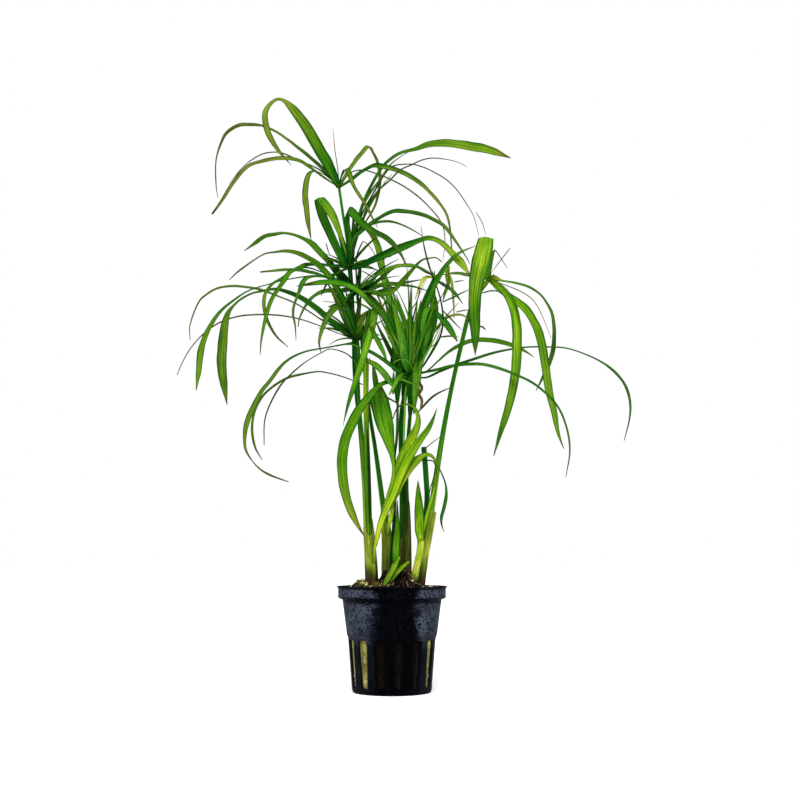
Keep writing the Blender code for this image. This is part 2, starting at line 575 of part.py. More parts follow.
def leaf_object(name, leaf, crown):
    """A thin blade with a keel, four points to a cross-section, swept from its base to its tip."""
    points = leaf_points(leaf, crown)
    marks = np.linspace(0, len(points) - 1, len(leaf.shape))
    bm = bmesh.new()
    end = None
    for number, (point, across, face) in enumerate(stations(leaf, points)):
        width = max(TIP_WIDTH, leaf.width * float(np.interp(number, marks, leaf.shape)))
        middle = point - face * (LEAF_KEEL * width)
        thick = min(LEAF_THICKNESS, width / 2)
        section = (
            point + across * (width / 2),
            middle + face * (thick / 2),
            point - across * (width / 2),
            middle - face * (thick / 2),
        )
        if end is None:
            end = bm.faces.new([bm.verts.new(corner) for corner in section])
            continue
        end = bmesh.ops.extrude_discrete_faces(bm, faces=[end])["faces"][0]
        for vert, corner in zip(end.verts, section):
            vert.co = corner
    bmesh.ops.holes_fill(bm, edges=bm.edges)
    # Split the short way, the two thin walls stay apart where the blade twists.
    bmesh.ops.triangulate(bm, faces=bm.faces, quad_method="SHORT_EDGE")
    return mesh_object(name, bm, leaf.colour, 0.4)


clear_scene()
net_pot()
plug()
for stem_name, stem_form in STEMS.items():
    stem_object(stem_name, stem_form)
for crown_name, leaves in LEAVES.items():
    for count, leaf_form in enumerate(leaves, 1):
        leaf_object(f"{crown_name}_leaf_{count}", leaf_form, CROWNS[crown_name])
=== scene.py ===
"""The looks of a clump of umbrella sedge in a slotted net pot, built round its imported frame.

Lengths are in millimetres here, and each mesh is turned into metres as it is finished.
"""

import math
import random
from dataclasses import dataclass
from itertools import accumulate

import bmesh
import bpy
import numpy as np
from mathutils import Matrix, Vector, geometry, noise


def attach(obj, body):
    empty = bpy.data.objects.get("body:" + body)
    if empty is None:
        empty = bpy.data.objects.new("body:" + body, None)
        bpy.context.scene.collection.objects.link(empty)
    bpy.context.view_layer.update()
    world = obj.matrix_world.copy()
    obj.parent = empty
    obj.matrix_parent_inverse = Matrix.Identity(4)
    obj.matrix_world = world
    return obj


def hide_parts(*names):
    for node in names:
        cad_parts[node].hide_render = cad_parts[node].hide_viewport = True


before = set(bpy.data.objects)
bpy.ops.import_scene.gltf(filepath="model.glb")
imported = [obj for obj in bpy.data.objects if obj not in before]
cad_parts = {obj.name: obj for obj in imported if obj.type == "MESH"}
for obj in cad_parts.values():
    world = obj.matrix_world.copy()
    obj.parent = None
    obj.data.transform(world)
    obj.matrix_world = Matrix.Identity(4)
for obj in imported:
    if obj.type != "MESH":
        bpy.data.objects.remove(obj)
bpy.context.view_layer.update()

# Camera. It stands 600 mm in front of the pot, a little above its rim, and looks slightly up, as a
# camera on a low tripod does. The plant is noted below as it looks from this point.
MM = 0.001
VIEW_POINT = Vector((4.0, -600.0, 66.0))
LOOK_UP = math.radians(7.6)
LENS = 53.19
SENSOR = 36.0

camera_data = bpy.data.cameras.new("camera")
camera_data.lens = LENS
camera_data.sensor_width = SENSOR
camera = bpy.data.objects.new("camera", camera_data)
camera.location = VIEW_POINT * MM
camera.rotation_euler = (math.pi / 2 + LOOK_UP, 0, 0)
bpy.context.collection.objects.link(camera)
bpy.context.scene.camera = camera
bpy.context.scene.view_settings.view_transform = "Standard"

# Net pot. It is one piece of moulded black plastic with a thin lip, an outward rim band, a step above
# its fourteen upright slots, and seven slots in its floor. One sector of its outer face is drawn and
# turned round, and the wall gets its thickness and its soft edges at the end.
POT_HEIGHT = 52.0
LIP_RADIUS = 27.5
LIP_DEPTH = 0.9
LIP_SLOPE = 0.4
BAND_RADIUS = 27.0
BAND_FOOT = 45.8
BAND_ROUNDING = 0.9
NECK_RADIUS = 24.8
NECK_TOP = 45.2
WAIST_RADIUS = 22.2
WAIST_STEP = 0.5
STEP_TOP = 27.8
STEP_FOOT = 26.8
FOOT_RADIUS = 19.8
FOOT_ROUNDING = 1.6
WALL = 1.2
SLOTS = 14
FIRST_SLOT = math.radians(-41.4)
SLOT_TOP = 26.0
SLOT_FOOT = 2.8
SLOT_HALF_TOP = 3.0
SLOT_HALF_FOOT = 2.1
SLOT_CORNER = 1.2
SLOT_SHARE = 0.75
SLOT_COLUMNS = 5
RIB_COLUMNS = 2
FLOOR_SLOT_INNER = 9.0
FLOOR_SLOT_OUTER = 16.0
FLOOR_SLOT_HALF = 1.5
MERGE = 0.001
POT_EDGE = 0.22
UPPER_ROWS = (NECK_TOP - 0.4, 40, 36, 32, STEP_TOP + 0.3)
SLOT_ROWS = (
    STEP_FOOT, SLOT_TOP, SLOT_TOP - SLOT_CORNER, 21, 16, 11, 6.5, SLOT_FOOT + SLOT_CORNER, SLOT_FOOT,
)
FLOOR_ROWS = (FLOOR_SLOT_OUTER, 12.5, FLOOR_SLOT_INNER, 5, 0)
# The two flanks carry a painted reflection of the side lights: these place it across and up.
REFLECTION_MIDDLE = 1.8
REFLECTION_FLANKS = (8.6, 15.6)
REFLECTION_RISE = (STEP_TOP - 8, STEP_TOP + 6)
LIP_RISE = (POT_HEIGHT - LIP_DEPTH - 1, POT_HEIGHT - LIP_DEPTH)
SHADE_RISE = (NECK_TOP - 2.6, NECK_TOP)
SHADE_END = (BAND_FOOT + 0.2, BAND_FOOT + 1.4)
# From the black plastic up to the blue-grey of the painted reflection on the flanks.
POT_COLOURS = [
    (0.0, (0.0004, 0.0004, 0.0007)),
    (0.3, (0.0036, 0.0046, 0.0076)),
    (1.0, (0.041, 0.050, 0.070)),
]


class Paint:
    """A shader socket that can be used in Python sums: each operator adds its Math node."""

    def __init__(self, tree, socket=None):
        self.tree = tree
        self.socket = socket

    def fill(self, shader, sockets):
        """Gives a node's sockets their values, or links them to other sockets."""
        for name, value in sockets.items():
            if isinstance(value, Paint):
                self.tree.links.new(value.socket, shader.inputs[name])
            else:
                shader.inputs[name].default_value = value

    def node(self, kind, settings, sockets, output=0):
        """Adds any other node, with its settings first, and returns one of its outputs."""
        shader = self.tree.nodes.new(kind)
        for name, value in settings.items():
            if name == "stops":
                ramp = shader.color_ramp
                while len(ramp.elements) < len(value):
                    ramp.elements.new(1)
                for element, (place, colour) in zip(ramp.elements, value):
                    element.position = place
                    element.color = (*colour, 1)
            else:
                setattr(shader, name, value)
        self.fill(shader, sockets)
        return Paint(self.tree, shader.outputs[output])

    def maths(self, operation, *values):
        """The Math node of this operation, on these values in their order."""
        return self.node("ShaderNodeMath", {"operation": operation}, dict(enumerate(values)))

    def __add__(self, other):
        return self.maths("ADD", self, other)

    def __sub__(self, other):
        return self.maths("SUBTRACT", self, other)

    def __rsub__(self, other):
        return self.maths("SUBTRACT", other, self)

    def __mul__(self, other):
        return self.maths("MULTIPLY", self, other)

    def __abs__(self):
        return self.maths("ABSOLUTE", self)

    __radd__ = __add__
    __rmul__ = __mul__

    def place(self):
        """Where a point of the piece is, in metres."""
        return self.node("ShaderNodeTexCoord", {}, {}, "Object")

    def mark(self, name):
        """What the mesh says of a point: its tone, its age or its seed."""
        return self.node("ShaderNodeAttribute", {"attribute_name": name}, {}, "Fac")

    def axis(self, name):
        """One axis of this vector."""
        return self.node("ShaderNodeSeparateXYZ", {}, {"Vector": self}, name)

    def between(self, low, high):
        """Rises smoothly from 0 at low to 1 at high."""
        return self.node("ShaderNodeMapRange", {"interpolation_type": "SMOOTHSTEP"},
                         {"Value": self, "From Min": low, "From Max": high})

    def ramp(self, stops):
        """The colour at this place along the stops."""
        return self.node("ShaderNodeValToRGB", {"stops": stops}, {"Fac": self})

    def turned(self, other, share):
        """This colour, turned into another one by this share."""
        return self.node("ShaderNodeMix", {"data_type": "RGBA"}, {0: share, 6: self, 7: other}, 2)

    def grain(self, scale, detail):
        """Soft noise over this vector."""
        return self.node("ShaderNodeTexNoise", {}, {"Vector": self, "Scale": scale, "Detail": detail})

    def stretched(self, x, y, z):
        """This vector with each of its axes scaled."""
        return self.node("ShaderNodeVectorMath", {"operation": "MULTIPLY"}, {0: self, 1: (x, y, z)})

    def bump(self, depth, strength):
        """A bump of this height, in metres, for a Normal socket."""
        return self.node("ShaderNodeBump", {}, {"Height": self, "Strength": strength, "Distance": depth})


def new_finish(name, **fixed):
    """A material, its Principled shader with the fixed values set, and a Paint to add its nodes with."""
    finish = bpy.data.materials.new(name)
    finish.use_nodes = True
    shader = finish.node_tree.nodes["Principled BSDF"]
    paint = Paint(finish.node_tree)
    paint.fill(shader, {key.replace("_", " "): value for key, value in fixed.items()})
    return finish, shader, paint


def pot_plastic():
    """Satin black with a blue cast, and a pitted blue-grey painted reflection of the side lights on its
    two flanks, mostly above the slots.
    """
    finish, shader, paint = new_finish("pot_plastic", Specular_IOR_Level=0.004)
    place = paint.place()
    height = place.axis("Z") * (1 / MM)
    across = abs(place.axis("X") * (1 / MM) - REFLECTION_MIDDLE)
    upper = height.between(*REFLECTION_RISE)
    lip = height.between(*LIP_RISE)
    # Painted glints of water droplets: pale specks, brighter on the flanks' painted reflection.
    glint_specks = place.grain(1250, 1).between(0.58, 0.66)
    pits = place.grain(1000, 1).between(0.52, 0.63)
    clouds = place.grain(140, 3).between(0.3, 0.7)
    flanks = (across + 3 * clouds).between(*REFLECTION_FLANKS)
    # Painted shade under the overhang of the rim band: the painted reflection is taken out there.
    shaded = height.between(*SHADE_RISE) * (1 - height.between(*SHADE_END))
    # The painted reflection of the side lights on the two flanks, patchy and pitted.
    painted_reflection = flanks * (0.3 + 0.7 * upper) * (0.62 + 0.38 * clouds)
    painted_reflection = painted_reflection * (1 - 0.9 * pits * upper) * (1 - 0.8 * lip) * (1 - 0.85 * shaded)
    scuffs = place.stretched(1, 1, 0.25).grain(420, 4).between(0.45, 0.8)
    # Clouds and scuffs of wear, with the painted reflection and the painted droplet glints on top.
    wear_and_reflection = 0.03 * clouds + 0.05 * scuffs + 0.85 * painted_reflection + 0.2 * glint_specks * upper * (1 + flanks)
    paint.fill(shader, {
        "Base Color": wear_and_reflection.ramp(POT_COLOURS),
        "Roughness": 0.30 + 0.16 * scuffs + 0.2 * painted_reflection,
        "Normal": (glint_specks - pits + 0.1 * scuffs).bump(0.00015, 0.5),
    })
    return finish


def finish_piece(name, bm, finish, slot, *replaced, sharp=45):
    """Turns a bmesh in millimetres into a piece in metres, which stands for the solids it replaces.

    Its edges look sharp past this angle, in degrees.
    """
    bmesh.ops.scale(bm, vec=(MM, MM, MM), verts=bm.verts)
    mesh = bpy.data.meshes.new(name)
    bm.to_mesh(mesh)
    bm.free()
    mesh.materials.append(finish)
    mesh.shade_smooth()
    mesh.set_sharp_from_angle(angle=math.radians(sharp))
    piece = bpy.data.objects.new(name, mesh)
    bpy.context.collection.objects.link(piece)
    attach(piece, "root")
    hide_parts(*replaced)
    return piece


def thicken(piece, wall, side):
    """Gives a sheet its thickness: side is -1 for inwards and 0 for half to each face."""
    solid = piece.modifiers.new("wall", "SOLIDIFY")
    solid.thickness = wall * MM
    solid.offset = side


def rounded_corner(radius, height, rounding, steps):
    """Rows round a lower corner, from the wall of this radius to the underside at this height."""
    return [(radius - rounding * (1 - math.cos(turn)), height + rounding * (1 - math.sin(turn)))
            for turn in np.linspace(0, math.pi / 2, steps)]


def upper_radius(height):
    """The radius of the wall between the neck and the step."""
    share = (NECK_TOP - height) / (NECK_TOP - STEP_TOP)
    return NECK_RADIUS + (WAIST_RADIUS + WAIST_STEP / 2 - NECK_RADIUS) * share


def lower_radius(height):
    """The radius of the wall between the step and the foot, where the slots are."""
    share = (height - FOOT_ROUNDING) / (STEP_FOOT - FOOT_ROUNDING)
    return FOOT_RADIUS + (WAIST_RADIUS - WAIST_STEP / 2 - FOOT_RADIUS) * share


def pot_rows():
    """The pot's outer face as (radius, height) rows, from the lip down and in to its floor's middle."""
    return [
        (LIP_RADIUS, POT_HEIGHT),
        (LIP_RADIUS, POT_HEIGHT - LIP_DEPTH),
        (BAND_RADIUS, POT_HEIGHT - LIP_DEPTH - LIP_SLOPE),
        *rounded_corner(BAND_RADIUS, BAND_FOOT, BAND_ROUNDING, 4),
        (NECK_RADIUS + 0.25, NECK_TOP + 0.2),
        *((upper_radius(height), height) for height in UPPER_ROWS),
        *((lower_radius(height), height) for height in SLOT_ROWS),
        *rounded_corner(FOOT_RADIUS, 0, FOOT_ROUNDING, 5),
        *((radius, 0) for radius in FLOOR_ROWS),
    ]


def column_angle(column, half_width, radius):
    """The angle of a column of the sector: the slot's columns crowd towards its edges."""
    edge = min(half_width / max(radius, MERGE), SLOT_SHARE * math.pi / SLOTS)
    share = min(abs(column), SLOT_COLUMNS) / SLOT_COLUMNS
    past = max(0, abs(column) - SLOT_COLUMNS) / RIB_COLUMNS
    angle = edge * math.sin(share * math.pi / 2) + (math.pi / SLOTS - edge) * past
    return math.copysign(angle, column)


def corner_drop(column, half_width):
    """How far the end of a slot is drawn in at this column, which makes its corners round."""
    across = half_width * math.sin(min(abs(column), SLOT_COLUMNS) / SLOT_COLUMNS * math.pi / 2)
    past = max(0, across - half_width + SLOT_CORNER)
    return SLOT_CORNER - math.sqrt(max(0, SLOT_CORNER ** 2 - past ** 2))


def pot_sector(bm, turn, floor_slot):
    """One fourteenth of the pot's outer face, with its slot left open."""
    rows = pot_rows()
    columns = SLOT_COLUMNS + RIB_COLUMNS
    made = bmesh.ops.create_grid(bm, x_segments=2 * columns, y_segments=len(rows) - 1, size=1)["verts"]
    open_faces = []
    for face in {face for vert in made for face in vert.link_faces}:
        middle = face.calc_center_median()
        level = int((1 - middle.y) / 2 * (len(rows) - 1))
        radius, height = rows[level]
        in_wall = SLOT_FOOT < height <= SLOT_TOP
        in_floor = floor_slot and height == 0 and FLOOR_SLOT_INNER < radius <= FLOOR_SLOT_OUTER
        if abs(middle.x) * columns < SLOT_COLUMNS and (in_wall or in_floor):
            open_faces.append(face)
    for vert in made:
        column = round(vert.co.x * columns)
        radius, height = rows[round((1 - vert.co.y) / 2 * (len(rows) - 1))]
        rise = min(1, max(0, (height - SLOT_FOOT) / (SLOT_TOP - SLOT_FOOT)))
        half_width = SLOT_HALF_FOOT + (SLOT_HALF_TOP - SLOT_HALF_FOOT) * rise
        if height == 0:
            half_width = FLOOR_SLOT_HALF
        if height in (SLOT_TOP, SLOT_FOOT) and abs(column) <= SLOT_COLUMNS:
            drop = corner_drop(column, half_width)
            height += drop if height == SLOT_FOOT else -drop
            radius = lower_radius(height)
        angle = turn + column_angle(column, half_width, radius)
        vert.co = (radius * math.sin(angle), -radius * math.cos(angle), height)
    bmesh.ops.delete(bm, geom=open_faces, context="FACES")


bm = bmesh.new()
for number in range(SLOTS):
    pot_sector(bm, FIRST_SLOT + number * math.tau / SLOTS, number % 2 == 1)
bmesh.ops.remove_doubles(bm, verts=bm.verts, dist=MERGE)
pot = finish_piece("net_pot_moulding", bm, pot_plastic(), "pot_plastic", "net_pot")
thicken(pot, WALL, -1)
soften = pot.modifiers.new("edges", "BEVEL")
soften.width = POT_EDGE * MM
soften.segments = 2
soften.angle_limit = math.radians(40)

# Plug. Rock wool and soil fill the pot: olive fibres press against the slots, with painted light
# making them lighter at the sides and painted shade darker in the middle, and soil covers the top
# between a few heaps of wool.
GAP = 0.1
PLUG_BASE = 1.4
PLUG_TOP = 49.6
PLUG_EDGE = 48.6
PLUG_SIDES = 168
PLUG_SEED = Vector((3.1, 7.7, 1.9))
BULGE = 0.7
DENTS = 0.3
WOOL_MIDDLE = 2.5
WOOL_SHADED_HALF = 9
WOOL_LIGHT_FADE = 7
WOOL_SHADED_TONE = -0.35
WOOL_PAINTED_LIGHT = 1.07
SOIL_TONE = -0.02
HEAPS = (
    (-15.5, -7.0, 5.6, 5.5, 0.55), (-8.0, -13.0, 3.4, 4.5, 0.5), (-12.0, 9.0, 4.0, 8.0, 0.4),
    (-2.5, -5.5, 9.0, 5.0, 0.0), (4.5, -5.5, 9.0, 5.0, 0.0), (10.0, -9.0, 5.0, 4.5, 0.05),
    (20.5, -3.0, 2.2, 5.0, 0.5),
)
WOOL_COLOURS = [
    (0.0, (0.0022, 0.0018, 0.0012)),
    (0.3, (0.020, 0.012, 0.007)),
    (0.55, (0.075, 0.062, 0.010)),
    (0.8, (0.22, 0.215, 0.060)),
    (1.0, (0.44, 0.43, 0.19)),
]


def rock_wool():
    """Matted fibres: the tone along the ramp comes from the mesh, broken up by grain at three scales."""
    finish, shader, paint = new_finish("rock_wool", Roughness=0.95, Specular_IOR_Level=0.02)
    place = paint.place()
    lumps = place.grain(230, 3) - 0.5
    fibres = place.stretched(1, 1, 3.5).grain(900, 4) - 0.5
    grit = place.grain(2600, 2) - 0.5
    paint.fill(shader, {
        "Base Color": (paint.mark("tone") + 0.7 * lumps + 0.6 * fibres + 0.3 * grit).ramp(WOOL_COLOURS),
        "Normal": (fibres + 0.6 * grit).bump(0.0006, 0.9),
    })
    return finish


def plug_height(point):
    """The bumpy top of the plug: lumps, and heaps, each with its place, rise, spread and lightness."""
    height = PLUG_TOP + 0.8 * noise.noise(point / 4 + PLUG_SEED) + 0.5 * noise.noise(point / 1.3)
    for across, deep, rise, spread, _ in HEAPS:
        away = math.hypot(point.x - across, point.y - deep)
        height += rise * math.exp(-((away / spread) ** 2))
    return height


def wool_tone(point):
    """The wool's tone: painted light makes it pale at the sides and painted shade dark in the middle;
    the heaps of wool are pale and the soil dark.
    """
    if point.z < PLUG_EDGE:
        # Painted light and shade: pale towards the sides, where the light reaches the wool, dark in the
        # middle.
        side = min(1, max(0, abs(point.x - WOOL_MIDDLE) - WOOL_SHADED_HALF) / WOOL_LIGHT_FADE)
        return WOOL_SHADED_TONE + WOOL_PAINTED_LIGHT * side * side * (3 - 2 * side)
    return SOIL_TONE + max(light * math.exp(-((math.hypot(point.x - x, point.y - y) / spread) ** 2))
                           for x, y, _, spread, light in HEAPS)


def slot_bulge(point):
    """How far the wool stands out into the slot that it faces."""
    turn = math.atan2(point.x, -point.y) - FIRST_SLOT
    ends = min(point.z - SLOT_FOOT, SLOT_TOP - point.z)
    return BULGE * max(0, math.cos(turn * SLOTS)) * min(1, max(0, ends) / 2)


inner_foot = FOOT_RADIUS - WALL - GAP
profile = [(0, PLUG_BASE), (inner_foot - FOOT_ROUNDING, PLUG_BASE)]
profile += [(lower_radius(h) - WALL - GAP, h) for h in np.arange(FOOT_ROUNDING + WALL, STEP_FOOT, 1.5)]
for share in np.linspace(0, 1, 9):
    radius = WAIST_RADIUS + (NECK_RADIUS - WAIST_RADIUS) * min(1, share * 1.2)
    profile.append((radius - WALL - GAP, STEP_TOP + (PLUG_EDGE - STEP_TOP) * share))
edge = profile[-1][0]
profile += [(edge * math.sqrt(1 - share), PLUG_TOP) for share in np.linspace(0.04, 1, 26)]

bm = bmesh.new()
tone = bm.verts.layers.float.new("tone")
ring = [bm.verts.new((radius, 0, height)) for radius, height in profile]
edges = [bm.edges.new(pair) for pair in zip(ring, ring[1:])]
bmesh.ops.spin(bm, geom=ring + edges, axis=(0, 0, 1), cent=(0, 0, 0), angle=math.tau, steps=PLUG_SIDES,
               use_merge=True)
bmesh.ops.remove_doubles(bm, verts=bm.verts, dist=MERGE)
for vert in bm.verts:
    if vert.co.z > PLUG_TOP - 0.1:
        vert.co.z = plug_height(vert.co)
    elif SLOT_FOOT < vert.co.z < SLOT_TOP:
        vert.co.xy *= 1 + (slot_bulge(vert.co) - DENTS * abs(noise.noise(vert.co / 1.5))) / WAIST_RADIUS
    vert[tone] = wool_tone(vert.co)
bmesh.ops.recalc_face_normals(bm, faces=bm.faces)
wool = rock_wool()
finish_piece("rock_wool_body", bm, wool, "rock_wool", "rock_wool_plug", sharp=80)

# Litter on the plug. Crumbs of soil and bark lie on it, thin brown roots run over it and out through
# the slots, and loose fibres of the wool stand up in a fringe round its edge.
LITTER_SEED = 11
CRUMBS = 520
ROOTS = 100
SLOT_ROOTS = 34
FIBRES = 420
CRUMB_SIZE = 1.5
CRUMB_SHADES = (-0.1, -0.05, 0, 0.05, 0.1, 0.15, 0.2, 0.3, 0.6, 1.1)
FIBRE_RADII = [0.08] * 6 + [0.02]
FIBRE_SHIFTS = (0, 0.6, 0.95)
SLOT_ROOT_RADII = [0.16] * 8 + [0.06]
SLOT_ROOT_SHADED_TONE = -0.7
SLOT_ROOT_PAINTED_LIGHT = 1.5
SLOT_ROOT_LIGHT_SPAN = 17
ROOT_COLOURS = [(0, (0.012, 0.005, 0.006)), (0.5, (0.050, 0.024, 0.016)), (1, (0.28, 0.21, 0.13))]
SIDEWAYS = Vector((1, 0, 0))


def square_to(tangent, way):
    """The part of a way that stands square to the tangent."""
    return (way - tangent * way.dot(tangent)).normalized()


def tangents_of(points):
    """The way that a line runs at each of its points."""
    return [(b - a).normalized() for a, b in zip([points[0], *points[:-1]], [*points[1:], points[-1]])]


def roll(bm, points, radii, sides, tones):
    """A round thread rolled up from a grid, with a place, a radius and a tone at each of its points."""
    tone = bm.verts.layers.float["tone"]
    last = len(points) - 1
    made = bmesh.ops.create_grid(bm, x_segments=last, y_segments=sides, size=1, calc_uvs=True)["verts"]
    frames = []
    way = SIDEWAYS
    for point, tangent in zip(points, tangents_of(points)):
        way = square_to(tangent, way)
        frames.append((point, way, way.cross(tangent)))
    for vert in made:
        number = round((vert.co.x + 1) / 2 * last)
        angle = math.pi * vert.co.y
        point, way, side = frames[number]
        vert.co = point + (way * math.cos(angle) + side * math.sin(angle)) * radii[number]
        vert[tone] = tones[number]
    return made


def wander(start, way, length, bend, steps):
    """Points of a line that sets off one way and turns a little at each step."""
    points = [start]
    for _ in range(steps):
        way = (way + Vector([chance.gauss(0, bend) for _ in range(3)])).normalized()
        points.append(points[-1] + way * (length / steps))
    return points


def on_top(reach):
    """A place on the top of the plug, this far from its middle at most."""
    angle = chance.uniform(0, math.tau)
    away = reach * math.sqrt(chance.random())
    place = Vector((away * math.cos(angle), away * math.sin(angle), PLUG_TOP))
    place.z = plug_height(place)
    return place


def new_sheet():
    """An empty bmesh with room for a UV map and for the tone, age and seed of each point."""
    bm = bmesh.new()
    bm.loops.layers.uv.verify()
    for name in ("tone", "age", "seed"):
        bm.verts.layers.float.new(name)
    return bm


def layers(bm, *names):
    """What is noted at the points of a mesh, by name."""
    return [bm.verts.layers.float[name] for name in names]


def close_up(bm):
    """Joins the seams and closes the ends of what has been rolled."""
    bmesh.ops.remove_doubles(bm, verts=bm.verts, dist=MERGE)
    bmesh.ops.holes_fill(bm, edges=bm.edges)
    bmesh.ops.recalc_face_normals(bm, faces=bm.faces)


def root_skin():
    """Dark brown to straw by tone, and mottled."""
    finish, shader, paint = new_finish("root_skin", Roughness=0.7, Specular_IOR_Level=0.05)
    mottle = paint.place().grain(700, 3) - 0.5
    paint.fill(shader, {
        "Base Color": (paint.mark("tone") + 0.8 * mottle).ramp(ROOT_COLOURS),
        "Normal": mottle.bump(0.0002, 0.5),
    })
    return finish


chance = random.Random(LITTER_SEED)
crumbs = new_sheet()
tone = crumbs.verts.layers.float["tone"]
for _ in range(CRUMBS):
    place = on_top(edge - 1)
    size = chance.uniform(0.25, 1.0) ** 1.6 * CRUMB_SIZE
    shade = wool_tone(place) + chance.choice(CRUMB_SHADES)
    made = bmesh.ops.create_icosphere(crumbs, subdivisions=1, radius=size)["verts"]
    for vert in made:
        vert.co *= chance.uniform(0.7, 1.2)
        vert[tone] = shade
    bmesh.ops.scale(crumbs, verts=made, vec=(1, chance.uniform(0.5, 1), chance.uniform(0.4, 0.8)))
    bmesh.ops.rotate(crumbs, verts=made, matrix=Matrix.Rotation(chance.uniform(0, math.tau), 3, "Z"))
    bmesh.ops.translate(crumbs, verts=made, vec=place)
finish_piece("soil_crumbs", crumbs, wool, "rock_wool", sharp=50)

fibres = new_sheet()
for _ in range(FIBRES):
    start = on_top(edge)
    outward = start.xy.normalized().to_3d()
    start = start.lerp(Vector((*(outward.xy * (edge - 0.5)), start.z)), chance.choice(FIBRE_SHIFTS))
    start.z = plug_height(start) - 0.3
    rising = Vector((outward.x * 0.5, outward.y * 0.5, chance.uniform(0.2, 1.3)))
    line = wander(start, rising.normalized(), chance.uniform(1.2, 3.4), 0.5, 6)
    roll(fibres, line, FIBRE_RADII, 3, [wool_tone(start) + chance.uniform(0.1, 0.45)] * len(line))
close_up(fibres)
finish_piece("wool_fibres", fibres, wool, "rock_wool", sharp=80)

roots = new_sheet()
for _ in range(ROOTS):
    start = on_top(edge - 2)
    angle = chance.uniform(0, math.tau)
    line = wander(start, Vector((math.cos(angle), math.sin(angle), 0.1)), chance.uniform(5, 15), 0.3, 10)
    for point in line:
        point.xy *= min(1, (edge - 0.6) / max(MERGE, point.xy.length))
        point.z = plug_height(point) + chance.uniform(-0.1, 0.9)
    thick = chance.uniform(0.1, 0.26)
    roll(roots, line, [thick] * 10 + [thick / 3], 5, [chance.uniform(0, 0.8)] * len(line))
for _ in range(SLOT_ROOTS):
    number = chance.randrange(SLOTS)
    height = chance.uniform(SLOT_FOOT + 3, SLOT_TOP - 2)
    line = []
    for _ in SLOT_ROOT_RADII:
        height -= chance.uniform(0.2, 1.5)
        height = max(height, SLOT_FOOT + 0.6)
        angle = FIRST_SLOT + number * math.tau / SLOTS + chance.gauss(0, 0.03)
        radius = lower_radius(height) - WALL + BULGE + chance.uniform(-0.3, 0.15)
        line.append(Vector((radius * math.sin(angle), -radius * math.cos(angle), height)))
    # Painted light and shade, as on the wool: roots in the middle slots are dark, those at the sides
    # light.
    shade = SLOT_ROOT_SHADED_TONE + SLOT_ROOT_PAINTED_LIGHT * min(1, abs(line[0].x) / SLOT_ROOT_LIGHT_SPAN) ** 2
    roll(roots, line, SLOT_ROOT_RADII, 5, [shade] * len(line))
close_up(roots)
finish_piece("roots", roots, root_skin(), "rock_wool", sharp=80)

# Stems. The culms of the sedge are solid, slightly three-sided and finely ribbed. They rise out of the
# plug in a tight clump, and each ends in its crown of leaves. Their routes, like those of the leaves,
# are noted across and up on an upright sheet through the pot, as the camera sees it.
SHEET_DISTANCE = 591.0
SHEET_MIDDLE = (4.0, 146.0)
FORWARD = Vector((0, math.cos(LOOK_UP), math.sin(LOOK_UP)))
UPWARD = Vector((0, -math.sin(LOOK_UP), math.cos(LOOK_UP)))
CURVE_STEPS = 12
STEM_FOOT = 46.0
STEM_STEP = 1.6
STEM_SIDES = 15
STEM_TAPER_END = 0.625
STEM_RIDGE = 0.07
STEM_FOOT_AGE = 0.5
STEM_SEED_STEP = 3.7
DARKEST_GREEN = 0.13
GREENS = [
    (0.0, (0.034, 0.011, 0.009)),
    (0.05, (0.022, 0.015, 0.004)),
    (0.1, (0.004, 0.018, 0.0008)),
    (0.25, (0.001, 0.034, 0.0020)),
    (0.45, (0.010, 0.084, 0.0025)),
    (0.65, (0.058, 0.160, 0.0025)),
    (0.85, (0.170, 0.285, 0.006)),
    (1.0, (0.360, 0.420, 0.014)),
]
LUSH = [
    (0.0, (0.020, 0.010, 0.006)),
    (0.1, (0.0008, 0.016, 0.003)),
    (0.25, (0.0008, 0.036, 0.004)),
    (0.45, (0.005, 0.092, 0.006)),
    (0.65, (0.032, 0.176, 0.009)),
    (0.85, (0.120, 0.300, 0.025)),
    (1.0, (0.280, 0.440, 0.090)),
]
DRY = [
    (0.0, (0.020, 0.010, 0.005)),
    (0.45, (0.080, 0.062, 0.012)),
    (0.7, (0.200, 0.200, 0.020)),
    (1.0, (0.580, 0.490, 0.100)),
]


@dataclass
class Stem:
    """A culm as seen from the front: its radii and depths at foot and top, its tones from foot to top,
    its route, and the age of its top. Its tones hold painted light and shade as well as its own colour.
    """

    foot_radius: float
    top_radius: float
    foot_depth: float
    top_depth: float
    tones: tuple
    route: list
    age: float = 0.0


